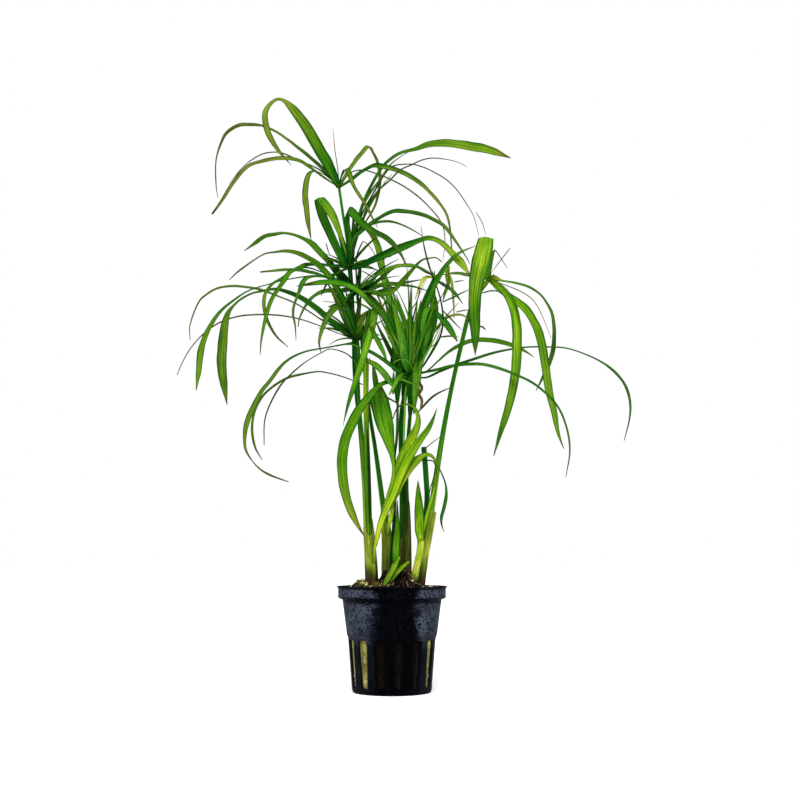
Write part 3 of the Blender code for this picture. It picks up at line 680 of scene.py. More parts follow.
STEMS = {
    "top_crown_stem": Stem(1.8, 0.75, 7, 22, (-0.15, 0.3, 0.36, 0.34, 0.38, 0.5), [
        (-10, 54), (-12.5, 86), (-15.5, 126), (-19, 161), (-19.5, 193), (-21, 215), (-24.5, 238.5),
        (-26.5, 252)], age=-0.6),
    "upper_crown_stem": Stem(1.8, 0.85, 2, 3, (-0.15, 0.42, 0.44, 0.38, 0.34, 0.34), [
        (-8.5, 54), (-10.5, 76), (-14, 116), (-17, 150), (-18.6, 176), (-20, 196), (-21.5, 212)],
        age=-0.6),
    "middle_crown_stem": Stem(1.9, 0.8, 0, -4, (-0.15, 0.44, 0.48, 0.4, 0.36, 0.36, 0.36), [
        (-3, 54), (-2.5, 76), (-5.5, 101), (-8.5, 122.5), (-11, 138.5), (-14, 162), (-15.5, 180),
        (-17.5, 201)], age=-0.6),
    "left_crown_stem": Stem(1.6, 0.85, -4, -9, (-0.15, 0.6, 0.68, 0.62, 0.5, 0.44, 0.42), [
        (-11.8, 54), (-12.1, 68), (-12.8, 82), (-13.6, 98), (-14.5, 118), (-15.9, 136), (-16.9, 156),
        (-17.5, 176)]),
    "front_crown_stem": Stem(1.5, 1.35, -9, -14, (-0.1, 0.3, 0.45, 0.42, 0.5, 0.64, 0.7, 0.74, 0.78), [
        (-10.9, 54), (-11.3, 81), (-11.7, 100), (-12.5, 126), (-13, 146), (-12.8, 165)]),
    "fan_crown_stem": Stem(1.7, 1.25, 4, 0, (-0.15, 0.1, 0.42, 0.44, 0.38, 0.38, 0.5), [
        (4, 54), (5, 72), (5, 101), (4.5, 121), (5, 141), (9, 158.5)], age=-0.6),
    "inner_crown_stem": Stem(1.8, 0.8, -2, 8, (-0.12, 0.12, 0.3, 0.4, 0.38, 0.38, 0.45, 0.45), [
        (8, 54), (7.5, 86), (7, 106), (8, 126), (11.5, 168.5), (12.5, 178.5), (15, 193.5), (21, 207)],
        age=-0.5),
    "right_crown_stem": Stem(2, 1.1, -1, -5, (-0.1, 0.62, 0.62, 0.52, 0.5, 0.46, 0.48, 0.52, 0.6), [
        (14.6, 54), (16, 66), (20, 93.5), (24, 121), (28.5, 146), (34, 171), (40, 193.5),
        (48.5, 206.5)], age=-0.35),
    "leaning_shoot": Stem(1.2, 0.3, -9.5, -15, (0, 0.4, 0.8, 0.9, 0.95, 0.95), [
        (-9.2, 54), (-9, 64), (-8.5, 72.5), (-6.5, 82.7), (-4.4, 90.5), (-0.2, 99), (3.4, 105.5)]),
    "short_shoot": Stem(1.85, 1.7, -6, -8, (-0.2, 0.35, 0.8, 0.88, 0.9), [
        (10.8, 54), (11.8, 60), (13.6, 67.5), (14.4, 74), (14.4, 78.5)], age=0.25),
    "cut_stem": Stem(1.6, 1.4, 7, 6, (0.05, 0.1, 0.18, 0.38, 0.4, 0.34), [
        (12, 54), (16, 80), (17.6, 96), (17.2, 106), (16, 122.5)], age=-1.2),
}


def lay(across, up, depth):
    """The point seen at (across, up) on the front sheet, this far behind the pot's axis."""
    ray = FORWARD * SHEET_DISTANCE + UPWARD * (up - SHEET_MIDDLE[1])
    ray.x = across - SHEET_MIDDLE[0]
    return VIEW_POINT + ray * ((depth - VIEW_POINT.y) / ray.y)


def smooth_curve(points):
    """Close points of a smooth curve through the given ones."""
    row = [2 * points[0] - points[1], *points, 2 * points[-1] - points[-2]]
    curve = []
    for before, start, end, after in zip(row, row[1:], row[2:], row[3:]):
        leaving = start + (end - before) / 6
        arriving = end - (after - start) / 6
        curve += geometry.interpolate_bezier(start, leaving, arriving, end, CURVE_STEPS)[:-1]
    return [*curve, points[-1]]


def runs_of(points):
    """How far along a line each of its points is; the last is its length."""
    return list(accumulate(((b - a).length for a, b in zip(points, points[1:])), initial=0))


def spaced(curve, count):
    """This many evenly spaced points of a curve."""
    runs = runs_of(curve)
    wanted = np.linspace(0, runs[-1], count)
    columns = [np.interp(wanted, runs, [point[axis] for point in curve]) for axis in range(3)]
    return [Vector(point) for point in zip(*columns)]


def along(values, count):
    """A few values spread evenly over this many places."""
    return np.interp(np.linspace(0, 1, count), np.linspace(0, 1, len(values)), values)


def sedge_skin(name, rows, ribs, roughness, blade=False):
    """Dark to bright green by tone, lush below age 0 and straw above it, with blotches and fine ribs.

    A blade also has a paler middle rib, darker edges and a dry tip.
    """
    finish, shader, paint = new_finish(name, Specular_IOR_Level=0.012)
    uv = paint.node("ShaderNodeUVMap", {}, {})
    length, across, place = uv.axis("X"), uv.axis("Y"), paint.place()
    tone, age, seed = paint.mark("tone"), paint.mark("age"), paint.mark("seed")
    grid = paint.node("ShaderNodeCombineXYZ", {}, {"X": length * rows, "Y": across * ribs, "Z": seed})
    streaks = grid.grain(1, 3) - 0.5
    waves = across * (ribs * math.tau)
    veins = waves.maths("SINE", waves)
    blotches = place.grain(95, 3) - 0.5
    pores = place.grain(1500, 2) - 0.5
    middle = 1 - abs(across - 0.5).between(0, 0.08)
    shade = tone + 0.62 * streaks + 0.22 * blotches + 0.1 * pores + 0.05 * veins
    tip = 0
    if blade:
        edges = abs(across - 0.5).between(0.34, 0.5)
        shade = shade + 0.14 * middle - 0.3 * edges
        tip = (length + 0.1 * blotches).between(0.94, 1)
    shade = shade.maths("MAXIMUM", shade, tone.maths("MINIMUM", tone, DARKEST_GREEN))
    living = shade.ramp(GREENS).turned(shade.ramp(LUSH), -1 * age)
    dry = (shade + 0.1 - 0.4 * tip).ramp(DRY)
    worn = age + 0.5 * streaks * age + tip
    paint.fill(shader, {
        "Base Color": living.turned(dry, worn),
        "Roughness": roughness + 0.3 * blotches + 0.2 * streaks,
        "Normal": (0.35 * veins + streaks + 0.6 * pores - 1.2 * middle).bump(0.00008, 0.6),
    })
    return finish


def stem_line(stem):
    """The middle of a culm, from inside the plug up to its crown."""
    depths = along((stem.foot_depth, stem.top_depth), len(stem.route))
    curve = smooth_curve([lay(*seen, depth) for seen, depth in zip(stem.route, depths)])
    foot = curve[0].copy()
    foot.z = STEM_FOOT
    return spaced([foot, *curve], round(runs_of(curve)[-1] / STEM_STEP))


def stem_radii(stem, count):
    """The culm's radius at each point: it tapers over its lower part, and is even above that."""
    tapered = [min(1, share / STEM_TAPER_END) for share in np.linspace(0, 1, count)]
    return [stem.foot_radius + (stem.top_radius - stem.foot_radius) * share for share in tapered]


stem_skin = sedge_skin("stem_skin", rows=4, ribs=9, roughness=0.4)
for number, (name, stem) in enumerate(STEMS.items()):
    line = stem_line(stem)
    bm = new_sheet()
    age, seed = layers(bm, "age", "seed")
    made = roll(bm, line, stem_radii(stem, len(line)), STEM_SIDES, along(stem.tones, len(line)))
    for vert in made:
        nearest = min(line, key=lambda point: (point - vert.co).length_squared)
        angle = math.atan2(vert.co.y - nearest.y, vert.co.x - nearest.x)
        vert.co += (vert.co - nearest) * (STEM_RIDGE * math.cos(3 * angle + number))
        share = (vert.co.z - line[0].z) / (line[-1].z - line[0].z)
        vert[age] = stem.age * share ** 2 + STEM_FOOT_AGE * (1 - share) ** 4
        vert[seed] = number * STEM_SEED_STEP
    close_up(bm)
    finish_piece(f"{name}_culm", bm, stem_skin, "stem", name, sharp=70)

# Sheaths. A thin sheath wraps the foot of each culm, purple-brown where it leaves the soil and green
# or straw-yellow above. It hugs the stem and opens aslant at its top.
SHEATH_SEED = 5
SHEATH_WALL = 0.22
SHEATH_GAP = 0.16
SHEATH_FOOT = 48
SHEATH_LOOSE = 0.35
SHEATH_LEAN = 0.15
SHEATH_AGE = 0.5
SHEATH_SEED_WIDTH = 9
SHEATHS = (
    ("top_crown_stem", 80, 0.3, 6, (-0.2, 0.1, 0.5, 0.6, 0.6)),
    ("upper_crown_stem", 84, 0.35, 7, (-0.2, 0.1, 0.5, 0.6, 0.65)),
    ("middle_crown_stem", 92, 1, 10, (-0.2, 0.3, 0.46, 0.56, 0.6, 0.6)),
    ("left_crown_stem", 88, 0.1, 10, (-0.25, -0.05, 0.5, 0.56, 0.58, 0.6)),
    ("front_crown_stem", 84, 0.1, 9, (-0.25, -0.05, 0.54, 0.6, 0.58, 0.52)),
    ("fan_crown_stem", 78, 0.3, 9, (-0.2, 0, 0.3, 0.4)),
    ("inner_crown_stem", 92, 0.3, 12, (-0.2, 0, 0.22, 0.3, 0.36)),
    ("right_crown_stem", 98, 0.12, 14, (-0.3, 0.3, 0.72, 0.64, 0.56, 0.58)),
    ("short_shoot", 64, 0.1, 4, (-0.25, 0.2, 0.74, 0.8)),
    ("leaning_shoot", 66, 0.1, 4, (-0.25, -0.05, 0.5, 0.58)),
)


def sheath(bm, stem, top, spread, slant, tones):
    """A sheath up to this height of a stem: it swells in its middle, and closes in to a slanting top."""
    whole = stem_line(stem)
    rows = [row for row in zip(whole, stem_radii(stem, len(whole))) if SHEATH_FOOT <= row[0].z <= top]
    line = [point for point, _ in rows]
    gaps = [SHEATH_GAP + spread * math.sin(math.pi * share) for share in np.linspace(0, 1, len(rows))]
    radii = [radius + gap for (_, radius), gap in zip(rows, gaps)]
    made = roll(bm, line, radii, STEM_SIDES, along(tones, len(line)))
    turn = chance.uniform(0, math.tau)
    for vert in made:
        rise = max(0, (vert.co.z - SHEATH_FOOT) / (top - SHEATH_FOOT) - SHEATH_LOOSE)
        angle = math.atan2(vert.co.y - line[0].y, vert.co.x - line[0].x)
        opening = rise * math.cos(angle + turn)
        vert.co.z += slant * opening
        vert.co += square_to(Vector((0, 0, 1)), vert.co - line[0]) * (SHEATH_LEAN * opening)


chance = random.Random(SHEATH_SEED)
bm = new_sheet()
for name, top, spread, slant, tones in SHEATHS:
    sheath(bm, STEMS[name], top, spread, slant, tones)
bmesh.ops.remove_doubles(bm, verts=bm.verts, dist=MERGE)
age, seed = layers(bm, "age", "seed")
for vert in bm.verts:
    vert[age] = SHEATH_AGE
    vert[seed] = vert.co.x / SHEATH_SEED_WIDTH
sheaths = finish_piece("sheaths", bm, stem_skin, "stem", sharp=70)
thicken(sheaths, SHEATH_WALL, -1)

# Top crown. The highest culm ends in a whorl of long strap leaves, keeled like a shallow gutter, which
# arch out and over. Each is drawn from its route in the front view, and laid back to its own depth.
CROWN_SEED = 3
LEAF_WALL = 0.24
LEAF_KEEL = 0.28
FOLD_KEEL = 0.1
KEEL_CURVE = 1.25
DRY_SCRAP = 0.3
BLADE_STEP = 1.3
LEAST_ROWS = 10
BLADE_LINES = (-1, -0.72, -0.42, -0.12, 0, 0.12, 0.42, 0.72, 1)
STRAND_LINES = (-1, -0.5, 0, 0.5, 1)
STRAND_WIDTH = 2
TIP_WIDTH = 0.1
COARSE = 13
EVENING = 3
WAVER = 0.07
WAVE_LENGTH = 7
WAVE_SEED_STEP = 5.3
LEAF_SEED_STEP = 2.7
FIRST_STRAND = 40
SPRAY_PARTS = (0.3, 0.65, 1)
SPRAY_BEND = 0.35
SPRAY_UNEVEN = 0.08
SPRAY_REACH = 26
SPRAY_TURNS = (10, 60)
LEAF_SHAPE = (0.4, 0.84, 1, 1, 0.9, 0.66, 0.05)
THIN_SHAPE = (0.6, 1, 0.95, 0.7, 0.1)
SCALES = 7
SCALE_ROOT = 1.5
SCALE_SPREAD = 0.5
SCALE_CURL = 0.05
SCALE_STEPS = (0.5, 1.5, 2.5, 3.6)
SCALE_TAPER = (1, 0.9, 0.7, 0.4)
SCALE_TIP = 0.08
SCALE_TONES = (0.45, 0.5, 0.6, 0.5, 0.3)
SCALE_AGE = 0.1
SCALE_RADIUS = 0.75
SCALE_SEED_STEP = 9
TO_VIEWER = Vector((0, -1, 0))


@dataclass
class Leaf:
    """A blade as it looks from the front: its width, the roll of its face up from the viewer in degrees,
    how far its tip lies behind its base, its tones from base to tip, and its route. Its tones hold
    painted light and shade as well as its own colour: lighter where it catches the light, darker where
    it lies in shade.

    A folded blade has depths for its route, and a hinge, the way that its width points. A loose one
    doesn't start at the crown. Its shape is its width from base to tip as shares of the whole.
    """

    width: float
    turn: float
    reach: float
    tones: tuple
    route: list
    shape: tuple = LEAF_SHAPE
    depths: tuple = ()
    hinge: tuple = ()
    age: float = 0.0
    loose: bool = False


def strand(width, reach, tones, route, age=0.02, turn=40, shape=THIN_SHAPE):
    """A thin blade that starts at its crown."""
    return Leaf(width, turn, reach, tones, route, shape=shape, age=age)


def scrap(width, near, far, tones, route, age=0.02, turn=30, shape=THIN_SHAPE):
    """A thin blade that lies loose between two depths."""
    return Leaf(width, turn, 0, tones, route, shape=shape, depths=(near, far), age=age, loose=True)


def spray(count, crown, leans, runs, widths, shades):
    """Narrow leaves that rise nearly straight from a crown, each leaning its own way from upright."""
    leaves = []
    for _ in range(count):
        lean, run, shade = chance.uniform(*leans), chance.uniform(*runs), chance.uniform(*shades)
        bend = SPRAY_BEND * lean + chance.gauss(0, SPRAY_UNEVEN)
        route = [(crown[0] + run * part * math.sin(lean + bend * part),
                  crown[1] + run * part * math.cos(lean + bend * part)) for part in SPRAY_PARTS]
        width, reach = chance.uniform(*widths), chance.uniform(-SPRAY_REACH, SPRAY_REACH)
        turn = chance.uniform(*SPRAY_TURNS)
        leaves.append(strand(width, reach, (shade, shade + 0.08, shade - 0.05), route, turn=turn))
    return leaves


def width_direction(leaf, tangent, side):
    """The way that its width points: along its hinge, or across the view and rolled by its turn."""
    if leaf.hinge:
        return square_to(tangent, Vector(leaf.hinge))
    face = square_to(tangent, TO_VIEWER)
    turn = math.radians(leaf.turn) * side
    return tangent.cross(face) * math.cos(turn) - face * math.sin(turn)


def blade_line(leaf, crown):
    """The blade's middle line: from the middle of its crown, unless it is loose."""
    seen = list(leaf.route)
    if leaf.depths:
        depths = list(along(leaf.depths, len(seen)))
        if not leaf.loose:
            seen.insert(0, crown[:2])
            depths.insert(0, crown[2])
    else:
        seen.insert(0, crown[:2])
        runs = runs_of([Vector(place) for place in seen])
        depths = [crown[2] + leaf.reach * math.sin(math.pi / 2 * run / runs[-1]) for run in runs]
    curve = smooth_curve([lay(*place, depth) for place, depth in zip(seen, depths)])
    return spaced(curve, max(LEAST_ROWS, round(runs_of(curve)[-1] / BLADE_STEP)))


def blade_ways(leaf, line):
    """The way of the blade's width at each of its points, evened out along it."""
    side = 1 if line[-1].x < line[0].x else -1
    few = spaced(line, COARSE)
    tangents = tangents_of(few)
    ways = [width_direction(leaf, tangent, side) for tangent in tangents]
    for _ in range(EVENING):
        sums = [a + 2 * b + c for a, b, c in zip([ways[0], *ways], ways, [*ways[1:], ways[-1]])]
        ways = [square_to(tangent, total) for tangent, total in zip(tangents, sums)]
    columns = [along([way[axis] for way in ways], len(line)) for axis in range(3)]
    return [square_to(tangent, Vector(way)) for tangent, way in zip(tangents_of(line), zip(*columns))]


def blade(bm, leaf, crown, number, drying):
    """One blade, bent from a grid: a keeled strap that wavers a little and narrows to its tip.

    It dries with the rest of its crown, unless it is a loose scrap that is dry by itself.
    """
    line = blade_line(leaf, crown)
    ways = blade_ways(leaf, line)
    last = len(line) - 1
    marks = BLADE_LINES if leaf.width > STRAND_WIDTH else STRAND_LINES
    widths = along(leaf.shape, len(line))
    tones = along(leaf.tones, len(line))
    ages = along((0, 0) if leaf.loose and leaf.age > DRY_SCRAP else drying, len(line))
    faces = [way.cross(tangent) for way, tangent in zip(ways, tangents_of(line))]
    tone, age, seed = layers(bm, "tone", "age", "seed")
    grid = bmesh.ops.create_grid(bm, x_segments=last, y_segments=len(marks) - 1, size=1, calc_uvs=True)
    for vert in grid["verts"]:
        station = round((vert.co.x + 1) / 2 * last)
        across = marks[round((vert.co.y + 1) / 2 * (len(marks) - 1))]
        width = max(TIP_WIDTH, leaf.width * widths[station])
        wave = noise.noise(Vector((station * BLADE_STEP / WAVE_LENGTH, across, number * WAVE_SEED_STEP)))
        keel = (FOLD_KEEL if leaf.hinge else LEAF_KEEL) * width * (1 - abs(across) ** KEEL_CURVE)
        vert.co = line[station] - ways[station] * (across * width / 2 * (1 + WAVER * wave))
        vert.co += faces[station] * (WAVER * width * wave - keel)
        vert[tone] = tones[station]
        vert[age] = leaf.age + ages[station]
        vert[seed] = number * LEAF_SEED_STEP


def crown_scales(bm, crown, stem_name):
    """Short green scales that sit round the top of the culm, at the foot of the leaves."""
    line = stem_line(STEMS[stem_name])
    rising = (line[-1] - line[-3]).normalized()
    middle = lay(*crown)
    thick = min(SCALE_RADIUS, STEMS[stem_name].top_radius)
    radii = [thick * share for share in SCALE_TAPER] + [SCALE_TIP]
    age, seed = layers(bm, "age", "seed")
    for _ in range(SCALES):
        lean = Vector([chance.gauss(0, SCALE_SPREAD) for _ in range(3)])
        way = (rising + lean).normalized()
        points = [middle - rising * SCALE_ROOT]
        points += [middle + way * step + lean * (SCALE_CURL * step ** 2) for step in SCALE_STEPS]
        for vert in roll(bm, points, radii, 6, SCALE_TONES):
            vert[age] = SCALE_AGE
            vert[seed] = lean.x * SCALE_SEED_STEP
    close_up(bm)


def finish_blades(name, bm, slot, *replaced):
    """Turns flat blades into a piece as thick as a leaf."""
    thicken(finish_piece(name, bm, leaf_skin, slot, *replaced, sharp=80), LEAF_WALL, 0)


def grow_crown(name, stem_name, crown, leaves, strands, slot="leaf", drying=(0, 0)):
    """A crown: each leaf stands for its own solid, and its strands and its scales are a piece each.

    Its drying is added to the age of its blades from base to tip, and where it is below 0 they are lush.
    """
    for count, leaf in enumerate(leaves, 1):
        bm = new_sheet()
        blade(bm, leaf, crown, count + len(stem_name), drying)
        finish_blades(f"{name}_blade_{count}", bm, slot, f"{name}_leaf_{count}")
    if strands:
        bm = new_sheet()
        for count, leaf in enumerate(strands):
            blade(bm, leaf, crown, count + FIRST_STRAND, drying)
        finish_blades(f"{name}_strands", bm, slot)
    if slot == "leaf":
        bm = new_sheet()
        crown_scales(bm, crown, stem_name)
        finish_piece(f"{name}_scales", bm, leaf_skin, slot, sharp=80)


leaf_skin = sedge_skin("leaf_skin", rows=5, ribs=7, roughness=0.42, blade=True)
chance = random.Random(CROWN_SEED)
grow_crown("top_crown", "top_crown_stem", (-26.5, 252.5, 22), [
    Leaf(7.2, 27, -20, (0.5, 0.52, 0.55, 0.55, 0.56, 0.5), [
        (-31, 262), (-37, 272.5), (-43.5, 283.5), (-50, 292), (-55.5, 296.5), (-60, 295), (-63.5, 289),
        (-62, 280), (-57, 271), (-50.5, 263.5)],
        shape=(0.45, 0.85, 1, 1, 1, 0.95, 0.45, 0.52, 0.52, 0.42, 0.24, 0)),
    Leaf(4, 46, 28, (0.4, 0.45, 0.3), [
        (-36, 263), (-46, 271.5), (-56, 279), (-64, 283), (-71, 284), (-77, 283.5), (-82, 280.5),
        (-85, 276), (-88, 266), (-88, 253.5), (-87, 247)],
        shape=(0.5, 0.75, 0.85, 0.8, 0.6, 0.5, 0.6, 1.1, 1.15, 0.55, 0.28, 0.24, 0.05), age=0.12),
    Leaf(3.5, 38, -38, (0.5, 0.55, 0.4), [
        (-33.5, 257), (-41, 262.5), (-47, 266), (-56, 267), (-65, 265.5), (-72, 263), (-78.5, 256),
        (-86, 244.5), (-90, 239)], shape=(0.3, 0.5, 0.8, 1, 1, 0.95, 0.8, 0.75, 0.4), age=0.2),
    Leaf(3.8, 46, 40, (0.5, 0.55, 0.5, 0.4), [
        (-21, 262), (-16, 268.5), (-11.5, 273), (-8, 267.5), (-6.5, 262), (-6, 256), (-7, 248.5),
        (-9, 242), (-15, 232)], shape=(0.5, 1, 1, 0.9, 0.7, 0.4, 0.2), age=0.12),
    Leaf(4.7, 44, -45, (0.5, 0.52, 0.45), [
        (-21, 256), (-16, 260), (-11, 263), (-8, 263.5), (1.5, 261.5), (9, 258), (16.5, 252.5),
        (22.5, 246), (27, 239.5), (29, 232), (30, 220)], shape=(0.5, 0.9, 1, 1, 0.8, 0.5, 0.3, 0.1)),
    Leaf(3.2, 48, -34, (0.5, 0.5, 0.44), [
        (-25.5, 258), (-23.5, 261.5), (-21.5, 260), (-20, 255), (-17, 249.5), (-13, 243.5),
        (-10, 237.5), (-7, 232)], age=0.05),
    Leaf(4.2, 36, -58, (0.55, 0.54, 0.42), [
        (-33.5, 258.5), (-39.5, 260.5), (-42.5, 257), (-43.5, 248.5), (-43, 243.5), (-42, 235),
        (-40.5, 226)], shape=(0.1, 0.12, 0.14, 0.65, 0.9, 0.95, 0.86, 0.68, 0.05)),
], [
    strand(1.2, -10, (0.4, 0.3), [
        (-36, 261), (-46, 265.5), (-53.5, 269), (-58.5, 270), (-65, 269), (-71, 265.5), (-76, 261),
        (-81.5, 254)]),
    strand(0.5, 8, (0.3, 0.2), [(-27, 261), (-28.5, 271), (-29.5, 281.5)], age=0.6),
    strand(1.2, 20, (0.35, 0.3), [
        (-21, 259.5), (-14.5, 261), (-8.5, 259.5), (-1, 256.5), (6.5, 252.5), (14, 247), (20, 241),
        (24, 236), (26, 231), (26.5, 223.5), (25.5, 216)], age=0.4),
], drying=(-0.15, 0.15, 0.38, 0.38))

# Upper crown. Its culm is a little shorter. One of its leaves is folded over on itself at
# the left, and a wide one arches far out over the right side.
grow_crown("upper_crown", "upper_crown_stem", (-21.5, 212, 3), [
    Leaf(5, 0, 0, (0.46, 0.5, 0.55, 0.58, 0.62, 0.56), [
        (-24, 214), (-29.4, 226), (-34.3, 237), (-36.6, 246), (-34.6, 245), (-29.6, 238), (-26, 229),
        (-22.4, 217.5)], depths=(1, -1, -4, -8, -13, -17, -20, -22), hinge=(0.9, 0, 0.42),
        shape=(0.4, 0.8, 0.9, 1, 0.9, 0.5, 0)),
    Leaf(4.6, 28, -45, (0.42, 0.5, 0.45), [
        (-21.5, 226), (-22.5, 235), (-22, 241), (-19, 239), (-15, 234.5), (-9.5, 230.5), (-3.5, 227.5),
        (1.5, 223), (5, 218), (7, 213)]),
    Leaf(5.7, 29, -34, (0.34, 0.38, 0.44, 0.54, 0.74, 0.8), [
        (-17, 212.5), (-12, 215), (-7, 217.5), (-1, 220), (6.5, 223), (14, 226), (19, 227), (25, 224.5),
        (32.5, 217), (39, 208.5)], shape=(0.3, 0.7, 0.95, 1, 0.95, 0.75, 0.55, 0.6, 0.95, 0.1)),
    Leaf(3.8, 44, -56, (0.5, 0.55, 0.5), [
        (-28.5, 213), (-36, 214), (-42, 214), (-46, 212.5), (-51, 210), (-54.5, 205), (-61, 194.5),
        (-65, 178.5), (-66, 168.5)]),
    Leaf(4.2, 32, -16, (0.5, 0.52, 0.5, 0.62), [
        (-31, 208.5), (-41, 208), (-48.5, 207), (-56, 205.5), (-65, 203), (-71, 201), (-77, 197.5),
        (-87, 189), (-94.5, 175), (-97, 158.5), (-98, 150.5)],
        shape=(0.3, 0.26, 0.24, 0.17, 0.15, 0.18, 0.25, 0.42, 0.6, 0.82, 1, 0.9, 0.03)),
    Leaf(4.1, 48, -75, (0.5, 0.48), [
        (-19.5, 226), (-16, 230), (-11, 234), (-4.5, 238.5), (1.5, 240.7), (9, 240.2), (16.5, 238.5),
        (22.5, 235.5), (27.5, 231.5), (36.5, 218.5), (39, 214)], age=0.08),
    Leaf(5.7, 24, 22, (0.35, 0.42, 0.5, 0.62, 0.6), [
        (-19, 228.5), (-16.5, 238.5), (-13.5, 247), (-9.5, 255), (-6, 261), (-2, 265.5), (4, 269.5),
        (11.5, 271.5), (19, 274), (29, 274.5), (39, 273), (49, 271), (59.5, 267)], shape=(0.2, 0.22,
        0.24, 0.26, 0.28, 0.3, 0.32, 0.34, 0.36, 0.44, 0.76, 1, 1.12, 1.15, 0.92, 0.05)),
    Leaf(2.8, 48, 72, (0.5, 0.5, 0.4), [
        (-17.5, 233.5), (-14.5, 243.5), (-10, 251), (-5.5, 257), (-1, 263.5), (4, 267.5), (9, 270.5)],
        age=0.1),
], [
    strand(2.9, 35, (0.5, 0.5), [
        (-18.5, 228.5), (-13.5, 232.5), (-7, 235), (0, 235.2), (6.5, 233), (13, 229.5), (16.5, 227)]),
    strand(1.3, -20, (0.5, 0.35, 0.2), [
        (-17, 228.5), (-13, 241), (-7.5, 250), (-1, 256), (4, 261), (9.5, 263.5), (15, 266), (21, 267),
        (29, 266), (34, 264.5), (37.5, 262.5)], age=0.2),
    strand(1.2, 25, (0.35, 0.22), [
        (-16.5, 235), (-9, 250), (-1, 262), (8, 264), (14, 263), (20, 260.5), (27.5, 256), (32.5, 251),
        (37, 244.5), (41, 237.5), (43.5, 228)], age=0.25),
    scrap(0.4, 28, 30, (0.3, 0.3), [(42, 240), (45, 235), (47, 228.5)], age=0.8),
    strand(3.4, 5, (0.3, 0.32, 0.36), [(-22.5, 216), (-24, 222), (-26, 229), (-28.5, 236)], turn=20),
    strand(1.6, 14, (0.5, 0.55, 0.45), [(-19, 224), (-15, 235), (-10, 245), (-4.5, 253.5), (0, 259)]),
    strand(2.6, -8, (0.36, 0.32), [(-20.2, 216), (-19.6, 224), (-19.3, 232), (-19.5, 240)], turn=20),
    strand(2.4, -18, (0.34, 0.4), [(-24.5, 211), (-29, 208.5), (-33, 203.5), (-35.5, 198)]),
    *spray(7, (-21.5, 212), (-1.9, -0.5), (7, 15), (0.9, 1.8), (0.34, 0.5)),
    *spray(7, (-21.5, 212), (0.5, 1.7), (12, 26), (0.9, 2), (0.34, 0.55)),
], drying=(-0.8, -0.2, 0.1, 0.15))

